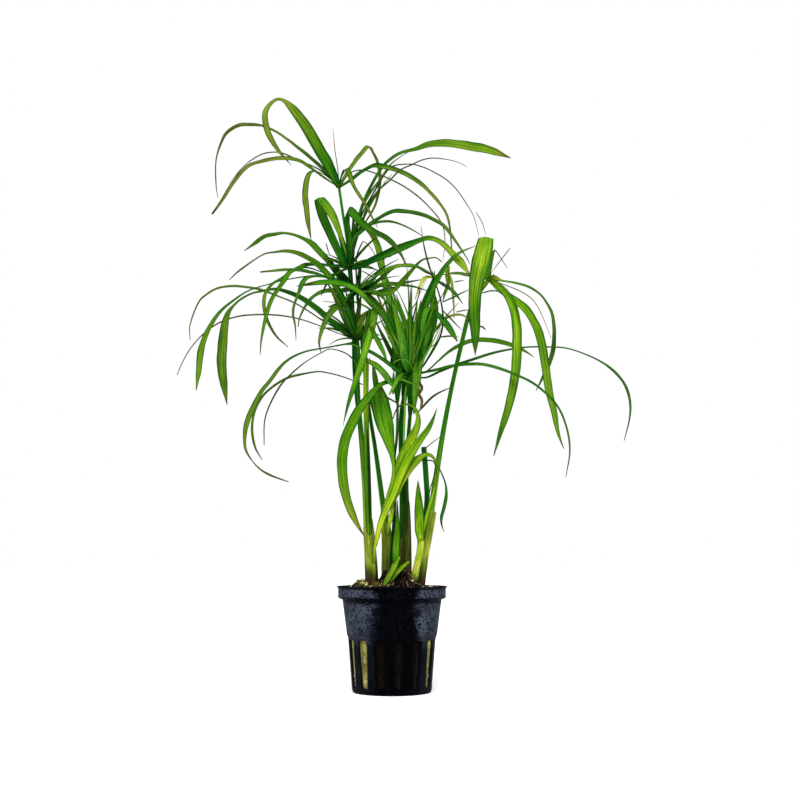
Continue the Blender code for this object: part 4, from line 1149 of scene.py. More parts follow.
# Middle crown. Most of its leaves are thin, and spread flat to both sides among the
# others, with a loop of a dark dry one at its heart.
grow_crown("middle_crown", "middle_crown_stem", (-17.5, 201, -4), [
    Leaf(4.4, 40, 34, (0.55, 0.58, 0.5), [
        (-22.5, 203), (-27, 209), (-31, 214.5), (-36, 220), (-41, 225), (-47, 228), (-53.5, 229.5),
        (-58.5, 229), (-63.5, 228), (-68.5, 224.5), (-74, 220.5)],
        shape=(0.4, 0.8, 0.95, 1, 1, 1, 0.9, 0.55, 0.48, 0.95, 0.85, 0.05)),
    Leaf(4.2, 36, -74, (0.6, 0.7, 0.5), [
        (-12, 205), (-6, 210), (0, 212.5), (6.5, 213.5), (13, 212.5), (19, 209.5)],
        shape=(0.9, 1.2, 1.1, 0.85, 0.75, 0.7, 0.2)),
    Leaf(3.5, 40, 66, (0.45, 0.4), [
        (-11, 201.5), (-2, 204.5), (4, 204.5), (10.5, 205.5), (16.5, 206.5)]),
    Leaf(3.8, 40, -62, (0.5, 0.55, 0.4), [
        (-26, 205.5), (-33.5, 207.5), (-41, 208), (-44.5, 205), (-46.5, 200), (-49, 193.5),
        (-49.5, 188.5), (-48.5, 183.5), (-48, 176)],
        shape=(0.3, 0.26, 0.26, 0.26, 0.5, 0.95, 0.8, 0.55, 0.42, 0.25, 0.05)),
], [
    strand(2.6, 15, (0.45, 0.5, 0.5), [
        (-26, 204.5), (-37, 209), (-41, 210), (-46, 211), (-53.5, 211.2), (-61, 210.5), (-66, 210)],
        shape=(0.4, 0.35, 0.6, 1, 1, 0.8, 0.4)),
    strand(2.8, -54, (0.7, 0.85, 0.6, 0.35), [
        (-12, 200.8), (-8.5, 200.6), (-5.5, 199), (-3.6, 196), (-4.2, 193.4), (-6.4, 191)]),
    strand(4.4, -40, (0.55, 0.7, 0.75, 0.5, 0.3), [
        (-8, 199.5), (-1, 200), (4, 204.3), (8.3, 209), (12, 213.3), (15, 216), (18, 216.8),
        (22, 217.2), (25, 215)], shape=(0.5, 0.7, 0.9, 1, 0.8, 0.3, 0.12)),
    strand(2.8, -24, (0.5, 0.65, 0.6, 0.4), [
        (-10, 203), (-4, 204), (2, 203.8), (8, 203.2), (13, 202.2), (17.8, 200.6)]),
    scrap(2.4, -6, 12, (0.9, 0.8, 0.7), [
        (28.4, 213), (27.6, 208), (28, 204), (26.4, 199.5), (25.3, 195)]),
    strand(1, 25, (0.3, 0.3), [
        (-17.5, 202), (-18, 211), (-17.5, 218.5), (-15, 224.5), (-13.5, 225), (-11, 222.5),
        (-8.5, 218.5), (-6.5, 212)]),
    strand(0.8, -12, (0.3, 0.25), [(-16, 203.5), (-12, 208), (-8.5, 211)], age=0.5),
    scrap(0.7, -10, -14, (0.3, 0.25), [(-15, 210.5), (-12, 209), (-5, 204)], age=0.5),
    scrap(0.6, 14, 10, (0.3, 0.25), [(-33, 224.5), (-32, 221), (-31, 218.5)], age=0.5),
    strand(2.4, -30, (0.45, 0.5, 0.45), [
        (-26, 206), (-41, 212), (-48.5, 211), (-55, 207), (-60, 204), (-63.5, 199), (-64, 192),
        (-62, 185), (-58, 178), (-52, 172.5)], shape=(0.3, 0.3, 0.3, 0.5, 0.9, 1, 1, 0.9, 0.6, 0.1),
        age=0.15),
    strand(4.6, 60, (0.5, 0.55, 0.5), [
        (-28.5, 201), (-34, 200.5), (-38.5, 198.5), (-42, 195), (-45, 190), (-46.5, 186),
        (-47, 182.5)]),
    strand(3.6, -40, (0.4, 0.45, 0.5, 0.5), [
        (-15.4, 200.6), (-8.4, 204.9), (-1.5, 210.3), (2.4, 212.7), (7, 214.5)]),
    strand(3.2, 20, (0.5, 0.45, 0.4), [(-14, 199.8), (-9, 199.6), (-3, 201.5), (4, 203)]),
    strand(3.8, 10, (0.3, 0.3, 0.36), [(-20, 203), (-24, 207.5), (-28, 212), (-32, 216)], turn=20),
    strand(3.2, -6, (0.3, 0.34, 0.36), [(-19.5, 199), (-23, 196), (-27, 194), (-32, 192.5)], turn=20),
    strand(2.6, 16, (0.34, 0.3), [(-17, 204), (-16.2, 210), (-15.8, 216)], turn=20),
    *spray(6, (-17.5, 201), (-2, -0.9), (8, 18), (0.9, 1.8), (0.36, 0.5)),
    *spray(9, (-17.5, 201), (0.7, 1.9), (14, 30), (0.9, 2.2), (0.4, 0.65)),
], drying=(-0.7, -0.3, 0.05, 0.16))

# Left crown. Its leaves arch out to the left, the largest hanging with a broad end, and
# two thin ones reach farther than any other on that side.
grow_crown("left_crown", "left_crown_stem", (-17.5, 176, -9), [
    Leaf(3.8, 38, -18, (0.42, 0.48, 0.5, 0.45, 0.35), [
        (-18.5, 180), (-21, 188.5), (-25, 197.5), (-30, 206), (-35, 212), (-40, 216), (-46, 219),
        (-52, 220.5), (-58.5, 220), (-65, 218.5), (-76, 211), (-81.5, 206)],
        shape=(0.45, 0.85, 1.05, 1.1, 1.1, 1.1, 0.95, 0.7, 0.35, 0.22, 0.36, 0.08)),
    Leaf(5.3, 19, -18, (0.46, 0.46, 0.48, 0.5, 0.46, 0.5), [
        (-23.5, 180), (-31, 186), (-38.5, 192.5), (-46, 197.5), (-53.5, 200.5), (-59, 201.5),
        (-65, 200.5), (-71, 199), (-78, 194.5), (-83, 187), (-85, 171), (-85, 161), (-82.5, 143.5)],
        shape=(0.5, 0.62, 0.62, 0.58, 0.45, 0.28, 0.2, 0.25, 0.8, 1, 1, 0.75, 0.02)),
    Leaf(2.3, 40, 30, (0.5, 0.45), [
        (-26, 181), (-33.5, 185), (-41, 190), (-48.5, 194.5), (-57, 198), (-65, 201), (-72.5, 202.5),
        (-80, 203), (-87, 202), (-92.5, 199), (-97, 194.5), (-101, 183.5), (-101, 176)],
        shape=(0.35, 0.36, 0.36, 0.36, 0.45, 0.75, 0.85, 0.8, 0.65, 0.45, 0.15), age=0.15),
    Leaf(1, 32, 50, (0.3, 0.25), [
        (-28.5, 180), (-37, 183.5), (-46, 186.5), (-53.5, 188), (-61, 188.7), (-68.5, 188.7),
        (-76, 188), (-83.5, 186), (-90, 182.5), (-96, 177.5), (-101, 171.5), (-105, 164.5),
        (-107.5, 158.5)], shape=(0.5, 0.5, 0.7, 1, 1, 1, 0.7, 0.4), age=0.5),
    Leaf(4, 36, -66, (0.5, 0.5), [
        (-20.5, 182), (-23.8, 189), (-27.2, 192.5), (-30.5, 190), (-33.3, 185.5), (-35.5, 179.5),
        (-36.5, 174.5), (-35.5, 169.5)]),
    Leaf(3.4, 36, -40, (0.5, 0.5, 0.55, 0.5, 0.4), [
        (-21, 174.5), (-31.5, 172.5), (-44, 170), (-53.5, 165), (-61.2, 155.5), (-66.5, 148.5),
        (-72, 136.5), (-73.7, 127), (-72.7, 120), (-67.5, 112.7), (-61.2, 108.5), (-51.7, 105)],
        shape=(0.34, 0.3, 0.3, 0.34, 0.5, 0.68, 0.78, 0.94, 1.1, 0.55, 0.14, 0.36, 0.1), age=0.05),
    Leaf(2.6, 40, 40, (0.3, 0.35, 0.45, 0.4), [
        (-14.8, 153.8), (-20, 156), (-25, 157.8), (-31.5, 159.5), (-37.5, 160.2), (-47, 158.5),
        (-53.5, 156.5), (-61.2, 151.5), (-65.7, 146.5), (-69, 139.5), (-70, 131.2), (-68.5, 122.5),
        (-65, 116)], shape=(0.26, 0.26, 0.28, 0.34, 0.58, 0.72, 0.72, 0.72, 0.72, 0.64, 0.1),
        depths=(2, 6, 12, 18, 23, 27, 30, 31, 31, 30, 30, 30, 30), age=0.05, loose=True),
], [
    strand(2.4, -70, (0.45, 0.42, 0.3, 0.25, 0.2, 0.3), [
        (-17.2, 165.5), (-23, 169.5), (-30.5, 171.5), (-35.7, 169.5), (-44, 164.5), (-51, 158.5),
        (-56, 153), (-61.2, 143.5), (-63.8, 135), (-64, 123.5)],
        shape=(1, 0.9, 0.5, 0.2, 0.2, 0.4, 0.45, 0.3, 0.14), age=0.2),
    strand(4, -6, (0.5, 0.6, 0.55), [(-17, 180), (-15.8, 184.5), (-14, 188.5), (-11, 191.2)], turn=15),
    strand(2.4, 30, (0.4, 0.5), [(-17, 184), (-19, 188), (-22, 191.5), (-26, 195), (-30, 198.5)]),
    strand(3.2, -10, (0.4, 0.42, 0.46, 0.45), [
        (-18.8, 178), (-20.6, 181), (-22.9, 185.5), (-24.9, 190), (-27, 195), (-29.5, 200),
        (-32.5, 205)], turn=20, shape=(0.5, 0.9, 1, 1, 0.9, 0.6, 0.1)),
    strand(2.6, 6, (0.3, 0.35), [
        (-17.3, 179), (-18, 184), (-19.6, 190), (-21.5, 195.5), (-23.5, 201)], turn=20),
    strand(2, -20, (0.42, 0.4), [(-16.5, 178), (-14, 180.5), (-11.5, 183.5), (-9.6, 186.5)], turn=20),
    strand(3, 4, (0.3, 0.34), [(-17.6, 180), (-17.2, 187), (-16.4, 193), (-15.4, 199)], turn=20),
    *spray(6, (-17.5, 176), (-1.2, -0.3), (12, 26), (0.9, 2), (0.34, 0.5)),
    *spray(7, (-17.5, 176), (0.1, 1.3), (10, 22), (0.9, 2.2), (0.38, 0.55)),
], drying=(-0.6, 0, 0.22, 0.22))

# Front crown. The culm that stands in front of the others has one bright leaf left, which
# is folded sharply over and hangs down.
grow_crown("front_crown", "front_crown_stem", (-12.5, 164, -14), [
    Leaf(3.7, 0, 0, (0.5, 0.55, 0.6, 0.7, 0.72, 0.62, 0.5, 0.4), [
        (-14, 172), (-12.6, 182), (-10.6, 189.5), (-9, 191), (-9.5, 185), (-12.4, 174), (-15.6, 163),
        (-18.8, 153.5), (-22, 143.5), (-24.5, 133)],
        depths=(-14, -15, -17, -21, -25, -28, -30, -32, -33, -34), hinge=(0.95, 0, 0.3),
        shape=(0.5, 0.8, 1, 1, 0.9, 0.6, 0)),
], [
    scrap(1.3, -12.6, -15, (0.13, 0.13, 0.08, 0.1, 0.14, 0.3), [
        (-11.2, 84), (-11.2, 94), (-11.2, 104), (-11.4, 112), (-11.8, 120), (-12.4, 132)],
        shape=(0.2, 0.8, 1, 1, 0.7, 0.2), turn=0),
], drying=(-0.3, -0.35, -0.1))

# Fan crown. A low crown in the middle of the clump: leaves stand up from it like a fan,
# three run far out to the right, and one hangs in front down to the pot.
grow_crown("fan_crown", "fan_crown_stem", (9, 158.5, 0), [
    Leaf(4, 32, -16, (0.6, 0.65, 0.6), [
        (5, 165), (2, 173.5), (-1, 182), (-3.5, 187), (-6, 190.5), (-10, 194), (-15, 199), (-20, 202.5),
        (-26, 204.5), (-33.5, 205), (-41, 204), (-47.5, 203)],
        depths=(-3, -7, -11, -14, -17, -21, -26, -30, -34, -38, -41, -44),
        shape=(0.4, 0.8, 1, 1, 0.95, 0.9, 0.8, 0.1)),
    Leaf(4.2, 28, 34, (0.68, 0.7), [
        (6.5, 163.5), (3.5, 178.5), (0.5, 191), (-2.5, 201), (-4.5, 210), (-6.5, 221), (-9.5, 228),
        (-13, 232.5)], shape=(0.5, 0.8, 1, 1, 1, 1, 0.95, 0.75)),
    Leaf(4.6, 14, -60, (0.62, 0.74, 0.66), [(6.5, 166), (5.5, 173), (4, 181), (1.5, 190), (-0.5, 197)]),
    Leaf(3.6, 32, -32, (0.6, 0.6), [
        (12, 163.5), (13, 176), (14, 184), (16, 190.5), (18.5, 197), (21, 203), (24, 208.8),
        (27.5, 213.8), (33.5, 219.5), (41.5, 223)]),
    Leaf(3.9, 0, 0, (0.6, 0.62, 0.56), [
        (14, 164), (16.5, 173.5), (19, 183.5), (20, 190.5), (17.5, 191.5), (15.8, 186), (14.2, 173.5)],
        depths=(-4, -8, -13, -18, -22, -25, -28), hinge=(0.96, 0, -0.2),
        shape=(0.5, 0.8, 1, 1, 0.7, 0)),
    Leaf(4, 40, 40, (0.6, 0.62, 0.5), [
        (16.5, 160), (22.5, 165), (27.5, 169.5), (33, 173), (39, 175.5), (45, 176.2), (52.5, 175.5),
        (60, 173.5), (66.5, 170.5), (71, 167.5)], shape=(0.2, 0.2, 0.25, 0.5, 0.8, 1, 1, 0.9, 0.05),
        age=0.45),
    Leaf(2.5, 40, 24, (0.45, 0.52, 0.5, 0.4, 0.4), [
        (16.5, 157.2), (24, 160.4), (31.5, 163.4), (39, 165.9), (48.5, 169), (58, 171.2), (67.5, 172.5),
        (77.2, 172.6), (87, 172), (96.5, 169), (106.5, 164), (114.2, 157), (118, 150), (119.2, 142.5),
        (118.5, 135), (116, 125.5)],
        shape=(0.4, 0.6, 0.75, 0.8, 0.6, 0.45, 0.42, 0.42, 0.45, 0.9, 0.95, 0.5, 0.1), age=0.5),
    Leaf(2.3, 40, -55, (0.5, 0.52, 0.4), [
        (21.5, 161), (29, 163), (39, 164), (47.5, 163.5), (60, 159.5), (72, 153.5), (82, 144),
        (87, 133.5), (89, 121), (87, 107.5)], shape=(0.5, 0.9, 1, 0.95, 0.8, 0.7, 0.6, 0.5, 0.1),
        age=0.5),
    Leaf(5.2, 16, -30, (0.6, 0.65, 0.6), [
        (4, 156.5), (-1, 155.5), (-6, 153.5), (-11, 148.5), (-16, 142), (-20, 134.5), (-23.5, 126),
        (-25, 116), (-24.5, 106), (-22.5, 96), (-18.5, 86), (-14, 78)],
        depths=(-7, -12, -17, -22, -26, -28, -29, -29, -28, -26, -24, -22),
        shape=(0.4, 0.42, 0.5, 0.75, 1, 1, 1, 0.9, 0.7, 0.05), age=0.55),
], [
    strand(2, 45, (0.82, 0.72, 0.75), [
        (-3.5, 186), (-8.5, 189.5), (-13.5, 193), (-18.5, 195), (-23.5, 195.7), (-29.5, 195),
        (-34.5, 195.5)]),
    strand(1.2, -60, (0.72, 0.62), [(9, 181), (8, 188.5), (5.5, 195), (2.5, 201), (0, 202.5)]),
    strand(1.3, 66, (0.52, 0.25, 0.52), [
        (8.5, 186), (8.5, 196), (8, 204.5), (7.5, 212), (6.5, 217)], age=0.5),
    strand(1.1, 45, (0.47, 0.3), [(9.5, 188.5), (12, 194.5), (14.5, 201), (17.5, 206.5)]),
    strand(1.1, -25, (0.3, 0.3), [
        (13, 160), (17.5, 166), (21.5, 172.5), (24.3, 178.5), (25.5, 186), (24.6, 194.5), (22.5, 202),
        (20, 208.5), (17.5, 215.5)]),
    strand(1.9, -66, (0.78, 0.82), [(14, 163.5), (16.5, 168), (19.5, 173.5), (24.5, 183.5)]),
    strand(1.4, 30, (0.8, 0.82), [(14.5, 162), (18, 167), (22, 175), (24.5, 182)]),
    strand(4, 14, (0.72, 0.77, 0.62), [
        (13, 165), (17, 172), (19.5, 178.5), (21.2, 184.5), (22.2, 190.5), (22, 195.5), (20.5, 201)],
        shape=(0.6, 0.9, 1, 0.9, 0.6, 0.1)),
    strand(5, -14, (0.72, 0.74, 0.67), [
        (11, 165), (12, 173), (13, 181), (13.2, 188)], turn=10, shape=(0.7, 1, 0.8, 0.5, 0.1)),
    strand(4.2, 8, (0.62, 0.62), [(8, 166), (7.6, 175), (8.2, 184), (9, 191)], turn=20),
    strand(3.2, 26, (0.56, 0.62), [
        (7, 165), (7.5, 175), (6.3, 184), (3.4, 192), (0.6, 199.5), (-2, 206.5)]),
    strand(3.6, 20, (0.62, 0.67), [(10.5, 166), (10.6, 176), (10.2, 184), (9.6, 190)], turn=20),
    strand(3.4, -42, (0.75, 0.8, 0.72), [
        (5, 166), (2, 171), (0, 175.5), (-2, 179.5), (-4.5, 184), (-6.5, 188.5)], age=0.2),
    strand(3, 18, (0.5, 0.5), [(3, 164), (0, 169), (-3, 175), (-6, 181), (-8.5, 186.5)], turn=30),
    strand(3, -26, (0.52, 0.58, 0.54), [
        (5, 159.5), (0, 163), (-5, 166.8), (-10, 169.8), (-15, 171.8), (-20, 173.8), (-26, 173.6)]),
    scrap(2.8, -40, -46, (0.66, 0.56, 0.5), [
        (-2.4, 165.4), (-4, 169.5), (-6.2, 174), (-8.6, 178.5), (-10.5, 183)],
        shape=(0.1, 0.8, 1, 1, 0.8), age=0.3),
    scrap(3.6, -12, -20, (0.62, 0.7, 0.74, 0.72), [
        (2, 153), (-1.5, 156), (-4, 159.5), (-7.5, 163), (-12.4, 165.8)], shape=(0.8, 1, 1, 0.9, 0.5),
        turn=20),
    scrap(3, -8, -12, (0.57, 0.64, 0.62), [
        (-6, 147), (-7.6, 152), (-8.6, 158), (-9.6, 164.5)], shape=(0.1, 1, 0.8, 0.2), turn=10),
    scrap(5.4, -3, -6, (0.72, 0.76, 0.74), [
        (10.9, 139), (11.4, 147), (12.2, 158), (12.8, 164), (13.6, 171)],
        shape=(0.1, 0.55, 0.9, 1, 0.6), turn=10),
    scrap(3.6, 1, -1, (0.5, 0.52, 0.56), [
        (2.6, 145), (2.8, 152), (3.4, 158), (4.4, 166)], shape=(0.5, 1, 1, 0.8), turn=15),
    scrap(3.4, 1, 0, (0.48, 0.52, 0.58), [
        (6, 142), (6.3, 150), (6.7, 158), (7.2, 166)], shape=(0.5, 1, 1, 0.8), turn=-15),
    scrap(3.6, 2, 0, (0.48, 0.5, 0.58), [
        (9, 138), (9.4, 147), (9.9, 156), (10.4, 165)], shape=(0.5, 1, 1, 0.8), turn=15),
    scrap(1, -6, -6, (0.84, 0.84, 0.88), [
        (5.6, 121), (6, 130), (6.3, 139), (6.6, 147), (6.9, 153)], shape=(0.4, 1, 1, 1, 0.4), age=0.15,
        turn=0),
    scrap(1.6, -6, -4, (0.9, 0.8), [(0.6, 149), (0.7, 155), (0.9, 161)], turn=0),
    strand(4, 10, (0.54, 0.58, 0.6), [
        (1.5, 162), (1.2, 167), (1.8, 173), (0.6, 181), (-1.8, 190), (-3.8, 197)], turn=20),
    strand(2.6, 4, (0.67, 0.72, 0.62), [
        (8.7, 168), (8.5, 175), (8, 181), (6, 187), (4, 193.5), (2, 199)], turn=25),
    strand(3, -8, (0.64, 0.7, 0.64), [
        (10.6, 165), (11.2, 172), (12, 180), (12.6, 185), (13.6, 191), (14.5, 196)], turn=25),
    strand(4.6, 10, (0.62, 0.68, 0.64), [
        (13.6, 165), (16.4, 175), (18.8, 185), (20.5, 195), (21.5, 204)], turn=20),
    strand(1, -10, (0.2, 0.15), [
        (9.4, 180), (10.6, 187), (12.2, 194), (13.8, 201), (14.8, 206)], age=0.5),
    strand(3, 20, (0.72, 0.67), [(5.5, 168), (4.4, 176), (2.6, 184), (0.6, 192), (-0.6, 200)], turn=20),
    scrap(2.4, -6, -10, (0.8, 0.75), [(1.5, 178), (3, 174), (4.6, 170), (5.6, 166)]),
    scrap(0.8, -20, -24, (0.8, 0.9), [
        (0.5, 164.5), (3, 166), (6, 166.4), (8.5, 165), (10, 161.5)], age=0.1, turn=-50),
    scrap(2.6, -14, -26, (0.74, 0.8, 0.78), [
        (6, 159.5), (3.4, 157.5), (1.5, 154), (0, 151), (-1.6, 148.5)]),
    scrap(1.3, -16, -12, (0.74, 0.82), [(3, 156.3), (6, 155.8), (9, 154.6), (12, 153.4)], turn=-40),
    scrap(1, -20, -14, (0.3, 0.3), [(-4, 148), (0, 146), (4, 143.5)], age=0.4),
    scrap(1.3, 4, 10, (0.3, 0.47), [(13, 140), (19.5, 147), (24.5, 150.2), (30, 152.5)], age=0.55),
    scrap(1.8, -8, -4, (0.2, 0.57), [
        (13.5, 155), (15, 152), (13.4, 149), (14.9, 146), (14.3, 142), (12.5, 139)], age=0.95),
    scrap(1, 20, 26, (0.3, 0.3), [(25.5, 195), (28, 196.3), (31, 197.5), (34.5, 199.4), (39, 201.5)]),
    scrap(0.9, -12, -18, (0.3, 0.47), [(25.5, 190.7), (28, 188.2), (31, 185), (35, 181)], age=0.8),
    scrap(1.6, 14, 18, (0.62, 0.67), [
        (26.3, 186.2), (29, 188), (33, 188.8), (36, 188.2), (39, 186.2)], age=0.4),
    scrap(4.2, -16, -24, (0.62, 0.58, 0.52), [
        (20.5, 191), (23.3, 188.5), (26.2, 185.3), (29.3, 181), (32.8, 175.2)],
        shape=(0.5, 0.8, 1, 0.85, 0.1)),
    scrap(1, -8, -12, (0.52, 0.52), [(24, 177.5), (29, 178), (33.5, 177.5)]),
    scrap(0.7, -6, -8, (0.3, 0.3), [(32, 190), (35.5, 190.8), (39, 191.2)], age=0.6),
    scrap(1.2, -14, -16, (0.62, 0.62), [(44, 183), (45.5, 182.4), (47, 181)]),
    scrap(0.7, 20, 22, (0.3, 0.3), [(31, 205), (33.5, 205.5), (36, 205.9)], age=0.6),
    *spray(20, (9, 158.5), (-0.5, 0.42), (26, 52), (1.2, 2.4), (0.56, 0.84)),
    *spray(18, (9, 158.5), (-0.4, 0.4), (20, 40), (0.9, 1.8), (0.72, 0.94)),
], drying=(-1, -0.85, -0.55, -0.15))

# Inner crown. A small crown on a thin culm behind the fan, with short yellowing leaves.
grow_crown("inner_crown", "inner_crown_stem", (21, 207, 8), [
    Leaf(3.5, 36, -56, (0.42, 0.45), [(22.5, 206), (26.5, 203.5), (30, 201), (33, 197.5), (35.5, 194)]),
], [
    strand(2.6, 44, (0.8, 0.85, 0.6), [
        (27, 210.5), (29.6, 206), (30.5, 199), (31, 192), (31, 186.5)], age=0.35),
    strand(2, -40, (1, 1, 1), [
        (19, 207.6), (16.5, 207.2), (14.8, 204.8), (13.3, 201.5), (11.6, 196.5)], age=0.5, turn=10),
    strand(1.3, 40, (0.3, 0.3), [
        (19.6, 210), (18, 215), (16.5, 221), (15.5, 226), (14.5, 233)], age=0.4),
    strand(1.2, -20, (0.3, 0.3), [(20, 208.5), (16.5, 210), (13, 212)]),
], drying=(-0.6, -0.3, 0))

# Right crown. The widest leaf of the plant folds over its top and hangs in front, glossy
# and yellow-green, and the others hang to the right.
grow_crown("right_crown", "right_crown_stem", (48.5, 206.5, -5), [
    Leaf(9.6, 0, 0, (0.75, 0.66, 0.7, 0.72, 0.68, 0.58, 0.48, 0.42, 0.4), [
        (47.6, 211), (47.2, 218), (47.2, 224), (46.9, 226.8), (46.4, 223.5), (45.2, 218), (43.4, 210.5),
        (41.9, 202.5), (41.2, 190), (41.6, 179.5), (41.6, 168)],
        depths=(-5, -8, -13, -18, -23, -26, -28, -30, -31, -32, -32), hinge=(0.97, 0, 0.05),
        shape=(0.3, 0.5, 0.66, 0.78, 0.9, 1, 0.86, 0.68, 0.62, 0.56, 0.4, 0)),
    Leaf(3.5, 44, 42, (0.74, 0.55, 0.48, 0.48, 0.42), [
        (53, 206), (61.3, 204.7), (67.5, 203), (73.5, 199.5), (77.2, 195), (80, 189.5), (81, 183),
        (81, 176.5), (80, 168.5), (76.5, 159.5), (72, 150.5)],
        shape=(0.4, 0.5, 0.6, 0.6, 0.7, 0.9, 1, 0.9, 0.05), age=0.05),
    Leaf(4.9, 22, -34, (0.76, 0.72, 0.68, 0.6, 0.55, 0.48), [
        (52.5, 204), (57.5, 198.5), (60.5, 192.5), (62, 185), (62.5, 178.5), (62, 162.5), (60, 150),
        (57.5, 140), (54.3, 130), (50.8, 118)]),
    Leaf(5.1, 22, 10, (0.76, 0.68, 0.6, 0.62, 0.62, 0.56), [
        (53.5, 201.5), (60, 197), (66.5, 192), (71.5, 184.5), (74.5, 176), (76.5, 165), (78.5, 151),
        (81, 140.5), (83, 130), (86, 121.5)]),
    Leaf(3.8, 32, 60, (0.5, 0.55), [(44, 207.5), (39, 208.5), (31.5, 209.5), (24, 208.5)]),
], [
    strand(3.4, -14, (0.78, 0.8, 0.7), [(46.5, 204), (44.5, 201), (42.5, 197.5)]),
    strand(3, -14, (0.8, 0.8, 0.7), [(50.5, 207.5), (53, 206.5), (56, 205.2)], turn=15),
    strand(1.4, -14, (0.5, 0.45), [(44, 200), (50, 200.7), (54, 200), (57, 197.5)]),
    strand(0.7, 50, (0.35, 0.3), [
        (58, 203), (64, 200.5), (70.5, 196), (75, 188.5), (79.5, 177)], age=0.8),
    strand(1.4, 30, (0.5, 0.4), [(50, 216), (51.5, 221), (55, 216), (58, 211.5)]),
    scrap(0.5, 20, 14, (0.3, 0.3), [(59, 222), (54, 215.5), (49.5, 209.5)], age=0.7),
], drying=(-0.3, 0.06, 0.1, 0.1))

# Leaning shoot. A young yellow-green shoot leans out of the left bundle, with its leaves just
# opening. The loose blades and sprouts in front of the stems, down to the pot's rim, hang with it.
grow_crown("leaning_shoot", "leaning_shoot", (-8.4, 73, -11.5), [
    Leaf(4.6, 16, -12, (1, 0.95, 0.88, 0.84, 0.78, 0.66, 0.4), [
        (-6, 83), (-3, 91), (0.8, 99), (4, 108), (7.5, 115.5), (11.5, 122.5), (15, 127.5), (18, 131.5),
        (20.5, 136.5), (22.5, 142)], shape=(0.3, 0.6, 0.66, 0.72, 0.9, 1, 0.8, 0.5, 0)),
    Leaf(5.2, 12, 6, (1, 0.94, 0.86, 0.8, 0.8, 0.72), [
        (-6.1, 82.7), (-3.5, 90.5), (0.4, 98.5), (3, 108), (4.8, 116), (8, 123.5), (11.4, 130),
        (13, 135), (12.6, 139.5), (10.5, 142.7), (7, 143.8), (3.6, 142.8), (1.6, 140), (0.5, 136.5)],
        shape=(0.3, 0.56, 0.64, 0.78, 1, 1.05, 0.85, 0.4, 0.16, 0.08)),
    Leaf(4.4, 20, -14, (1, 0.95, 0.86, 0.8, 0.68, 0.5, 0.4, 0.3), [
        (-5.9, 83), (-2.7, 90.5), (1.7, 98.5), (5, 106), (9.5, 113), (14, 117.3), (17.6, 118.8),
        (20.4, 117.6), (22.6, 114), (25, 109), (26.8, 104), (27.2, 98.5), (26, 92), (24.7, 87),
        (25, 83), (26.2, 80)],
        shape=(0.4, 0.45, 0.55, 0.65, 0.8, 1.05, 1.15, 0.4, 0.14, 0.18, 0.4, 0.36, 0), age=0.1),
    Leaf(9.4, 8, -3, (0.95, 0.92, 0.84, 0.77, 0.7, 0.66, 0.56), [
        (-6.2, 83), (-3.9, 91), (-1.4, 99), (0.5, 106), (0.8, 112), (0.3, 117), (-0.6, 121.5),
        (-1.6, 126), (-2.9, 131.5), (-4.6, 138), (-6.4, 145.5), (-8.2, 152)],
        shape=(0.15, 0.25, 0.25, 0.25, 0.25, 0.22, 0.15, 0.3, 0.6, 0.9, 1, 1, 0.7), age=-0.2),
], [
    scrap(3, -16, -18, (0.86, 0.92, 0.9), [
        (-2, 96), (1.5, 103), (4, 110), (6.5, 117), (8.8, 124)], turn=10,
        shape=(0.1, 0.8, 1, 0.8, 0.1)),
    scrap(2.2, -15, -16, (0.7, 0.8, 0.6), [
        (0.9, 95.5), (0.3, 91.5), (-0.7, 87), (-1.7, 83), (-2.4, 78)], age=0.2,
        shape=(0.1, 0.8, 1, 0.8, 0.3), turn=10),
    scrap(0.7, -20, -18, (0.2, 0.1), [
        (13.5, 115.8), (17.5, 115.9), (20.8, 115.4), (22, 112), (22.2, 108)], age=0.5),
    scrap(1.3, -8, -6, (0.4, 0.5, 0.35, 0.3), [
        (2.8, 145), (2.7, 136), (2.4, 127), (1.4, 119), (1.2, 111)], turn=0, shape=(0.8, 1, 1, 0.8)),
    scrap(1.5, -4, -4, (0.3, 0.2, 0.15), [
        (2, 101), (1.2, 90), (0.5, 78), (-0.4, 64)], turn=0, shape=(0.6, 1, 1, 0.8)),
    scrap(3.9, -10, -12, (0.5, 0.56, 0.6, 0.52), [
        (2.6, 96), (2.7, 88), (2.4, 80), (2, 72), (2.2, 62)], turn=0, shape=(0.05, 0.4, 0.8, 1, 0.9)),
    scrap(0.5, 4, 14, (0.2, 0.2), [(15.6, 121), (20, 124.6), (24.5, 128)], age=0.8),
    scrap(2.7, -12, -14, (0.6, 0.74, 0.76), [
        (-5, 51.5), (-1.8, 57.5), (1.6, 63.5), (3.8, 67.6)], shape=(0.5, 1, 1, 0.5), turn=10, age=0.12),
    scrap(2.4, -11, -13, (0.6, 0.74, 0.76), [
        (-3, 53), (1.2, 58.5), (4.9, 62.4), (8.6, 65.2)], shape=(0.5, 1, 1, 0.5), turn=10, age=0.12),
    scrap(1.6, -14, -14, (0.9, 0.8, 0.7), [
        (21.5, 103), (19.6, 96), (17.4, 88), (15.8, 80)], shape=(0.2, 0.8, 1, 0.6), turn=0),
    scrap(0.6, -8, -8, (0.25, 0.1, 0.15, 0.1), [
        (21.5, 112), (20.7, 107), (19.4, 102.7), (18.6, 98.5)], age=0.3),
], slot="young_shoot", drying=(0.05, 0, -0.15))

# Short shoot. A second young shoot stands at the right foot of the clump. It is still a single
# pointed leaf.
grow_crown("short_shoot", "short_shoot", (14.4, 75.5, -10), [
    Leaf(4.8, 8, -2, (0.78, 0.68, 0.62, 0.54), [
        (14, 80), (13.7, 86), (13.5, 93), (13.2, 100), (13, 106)],
        shape=(0.6, 1.05, 1, 0.95, 0.75, 0.45, 0)),
], [], slot="young_shoot")

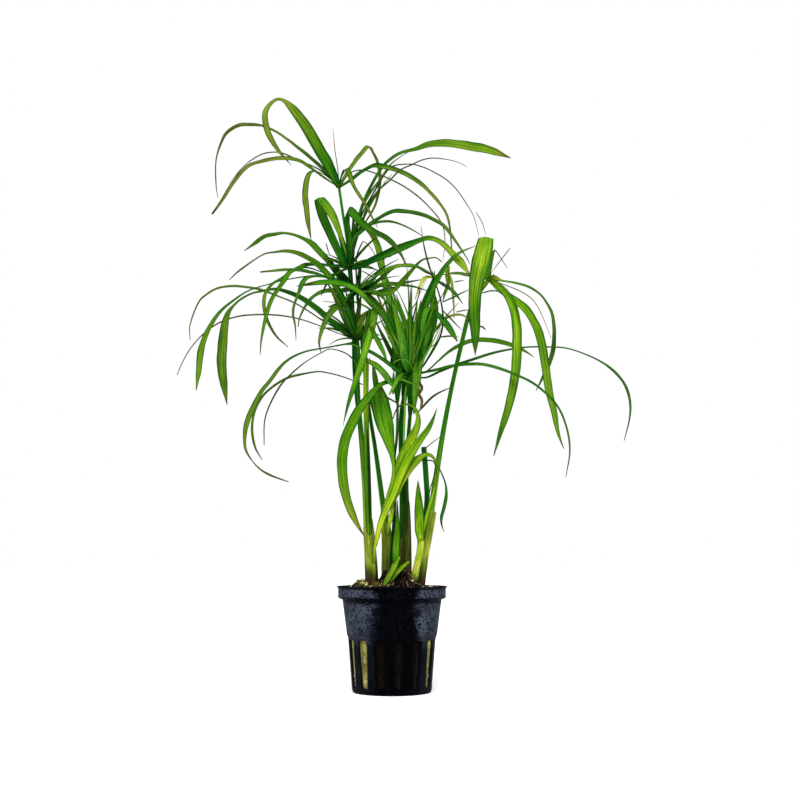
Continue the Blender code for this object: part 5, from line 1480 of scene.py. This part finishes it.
# Stage. A plain white floor, a white surround, and three soft lights: a broad one above and in front,
# and two weaker panels that fill from both sides. Lengths are in metres here.
FLOOR_HALF = 6.0
FLOOR_WHITE = (0.92, 0.92, 0.92)
SUN_POWER = 4.9
SUN_ANGLE = math.radians(40)
SUN_PLACE = Vector((-0.05, -1.0, 1.25))
AMBIENT = 0.5
SOFTBOXES = (
    ("left_softbox", (-0.75, 0.1, 0.17), 3.0),
    ("right_softbox", (0.75, 0.0, 0.17), 3.0),
)
SOFTBOX_WIDTH = 0.45
SOFTBOX_HEIGHT = 0.34
LIGHT_AIM = Vector((0, 0, 0.17))

bm = bmesh.new()
bmesh.ops.create_grid(bm, x_segments=1, y_segments=1, size=FLOOR_HALF)
floor_mesh = bpy.data.meshes.new("floor")
bm.to_mesh(floor_mesh)
bm.free()
floor_paint = new_finish("floor_white", Roughness=0.6, Specular_IOR_Level=0.1,
                         Base_Color=(*FLOOR_WHITE, 1))[0]
floor_mesh.materials.append(floor_paint)
floor = bpy.data.objects.new("floor", floor_mesh)
bpy.context.collection.objects.link(floor)

surround = bpy.data.worlds.new("surround")
surround.use_nodes = True
backdrop = Paint(surround.node_tree)
seen = backdrop.node("ShaderNodeLightPath", {}, {}, "Is Camera Ray")
backdrop.fill(surround.node_tree.nodes["Background"], {
    "Color": (1, 1, 1, 1),
    "Strength": AMBIENT + (1 - AMBIENT) * seen,
})
bpy.context.scene.world = surround


def add_light(name, kind, place, power, **sizes):
    """A light at this place that shines on the middle of the plant."""
    light = bpy.data.lights.new(name, kind)
    light.energy = power
    for key, value in sizes.items():
        setattr(light, key, value)
    lamp = bpy.data.objects.new(name, light)
    lamp.location = place
    lamp.rotation_euler = (LIGHT_AIM - Vector(place)).to_track_quat("-Z", "Y").to_euler()
    bpy.context.collection.objects.link(lamp)


add_light("high_light", "SUN", SUN_PLACE, SUN_POWER, angle=SUN_ANGLE)
for name, place, power in SOFTBOXES:
    add_light(name, "AREA", place, power, shape="RECTANGLE", size=SOFTBOX_WIDTH, size_y=SOFTBOX_HEIGHT)
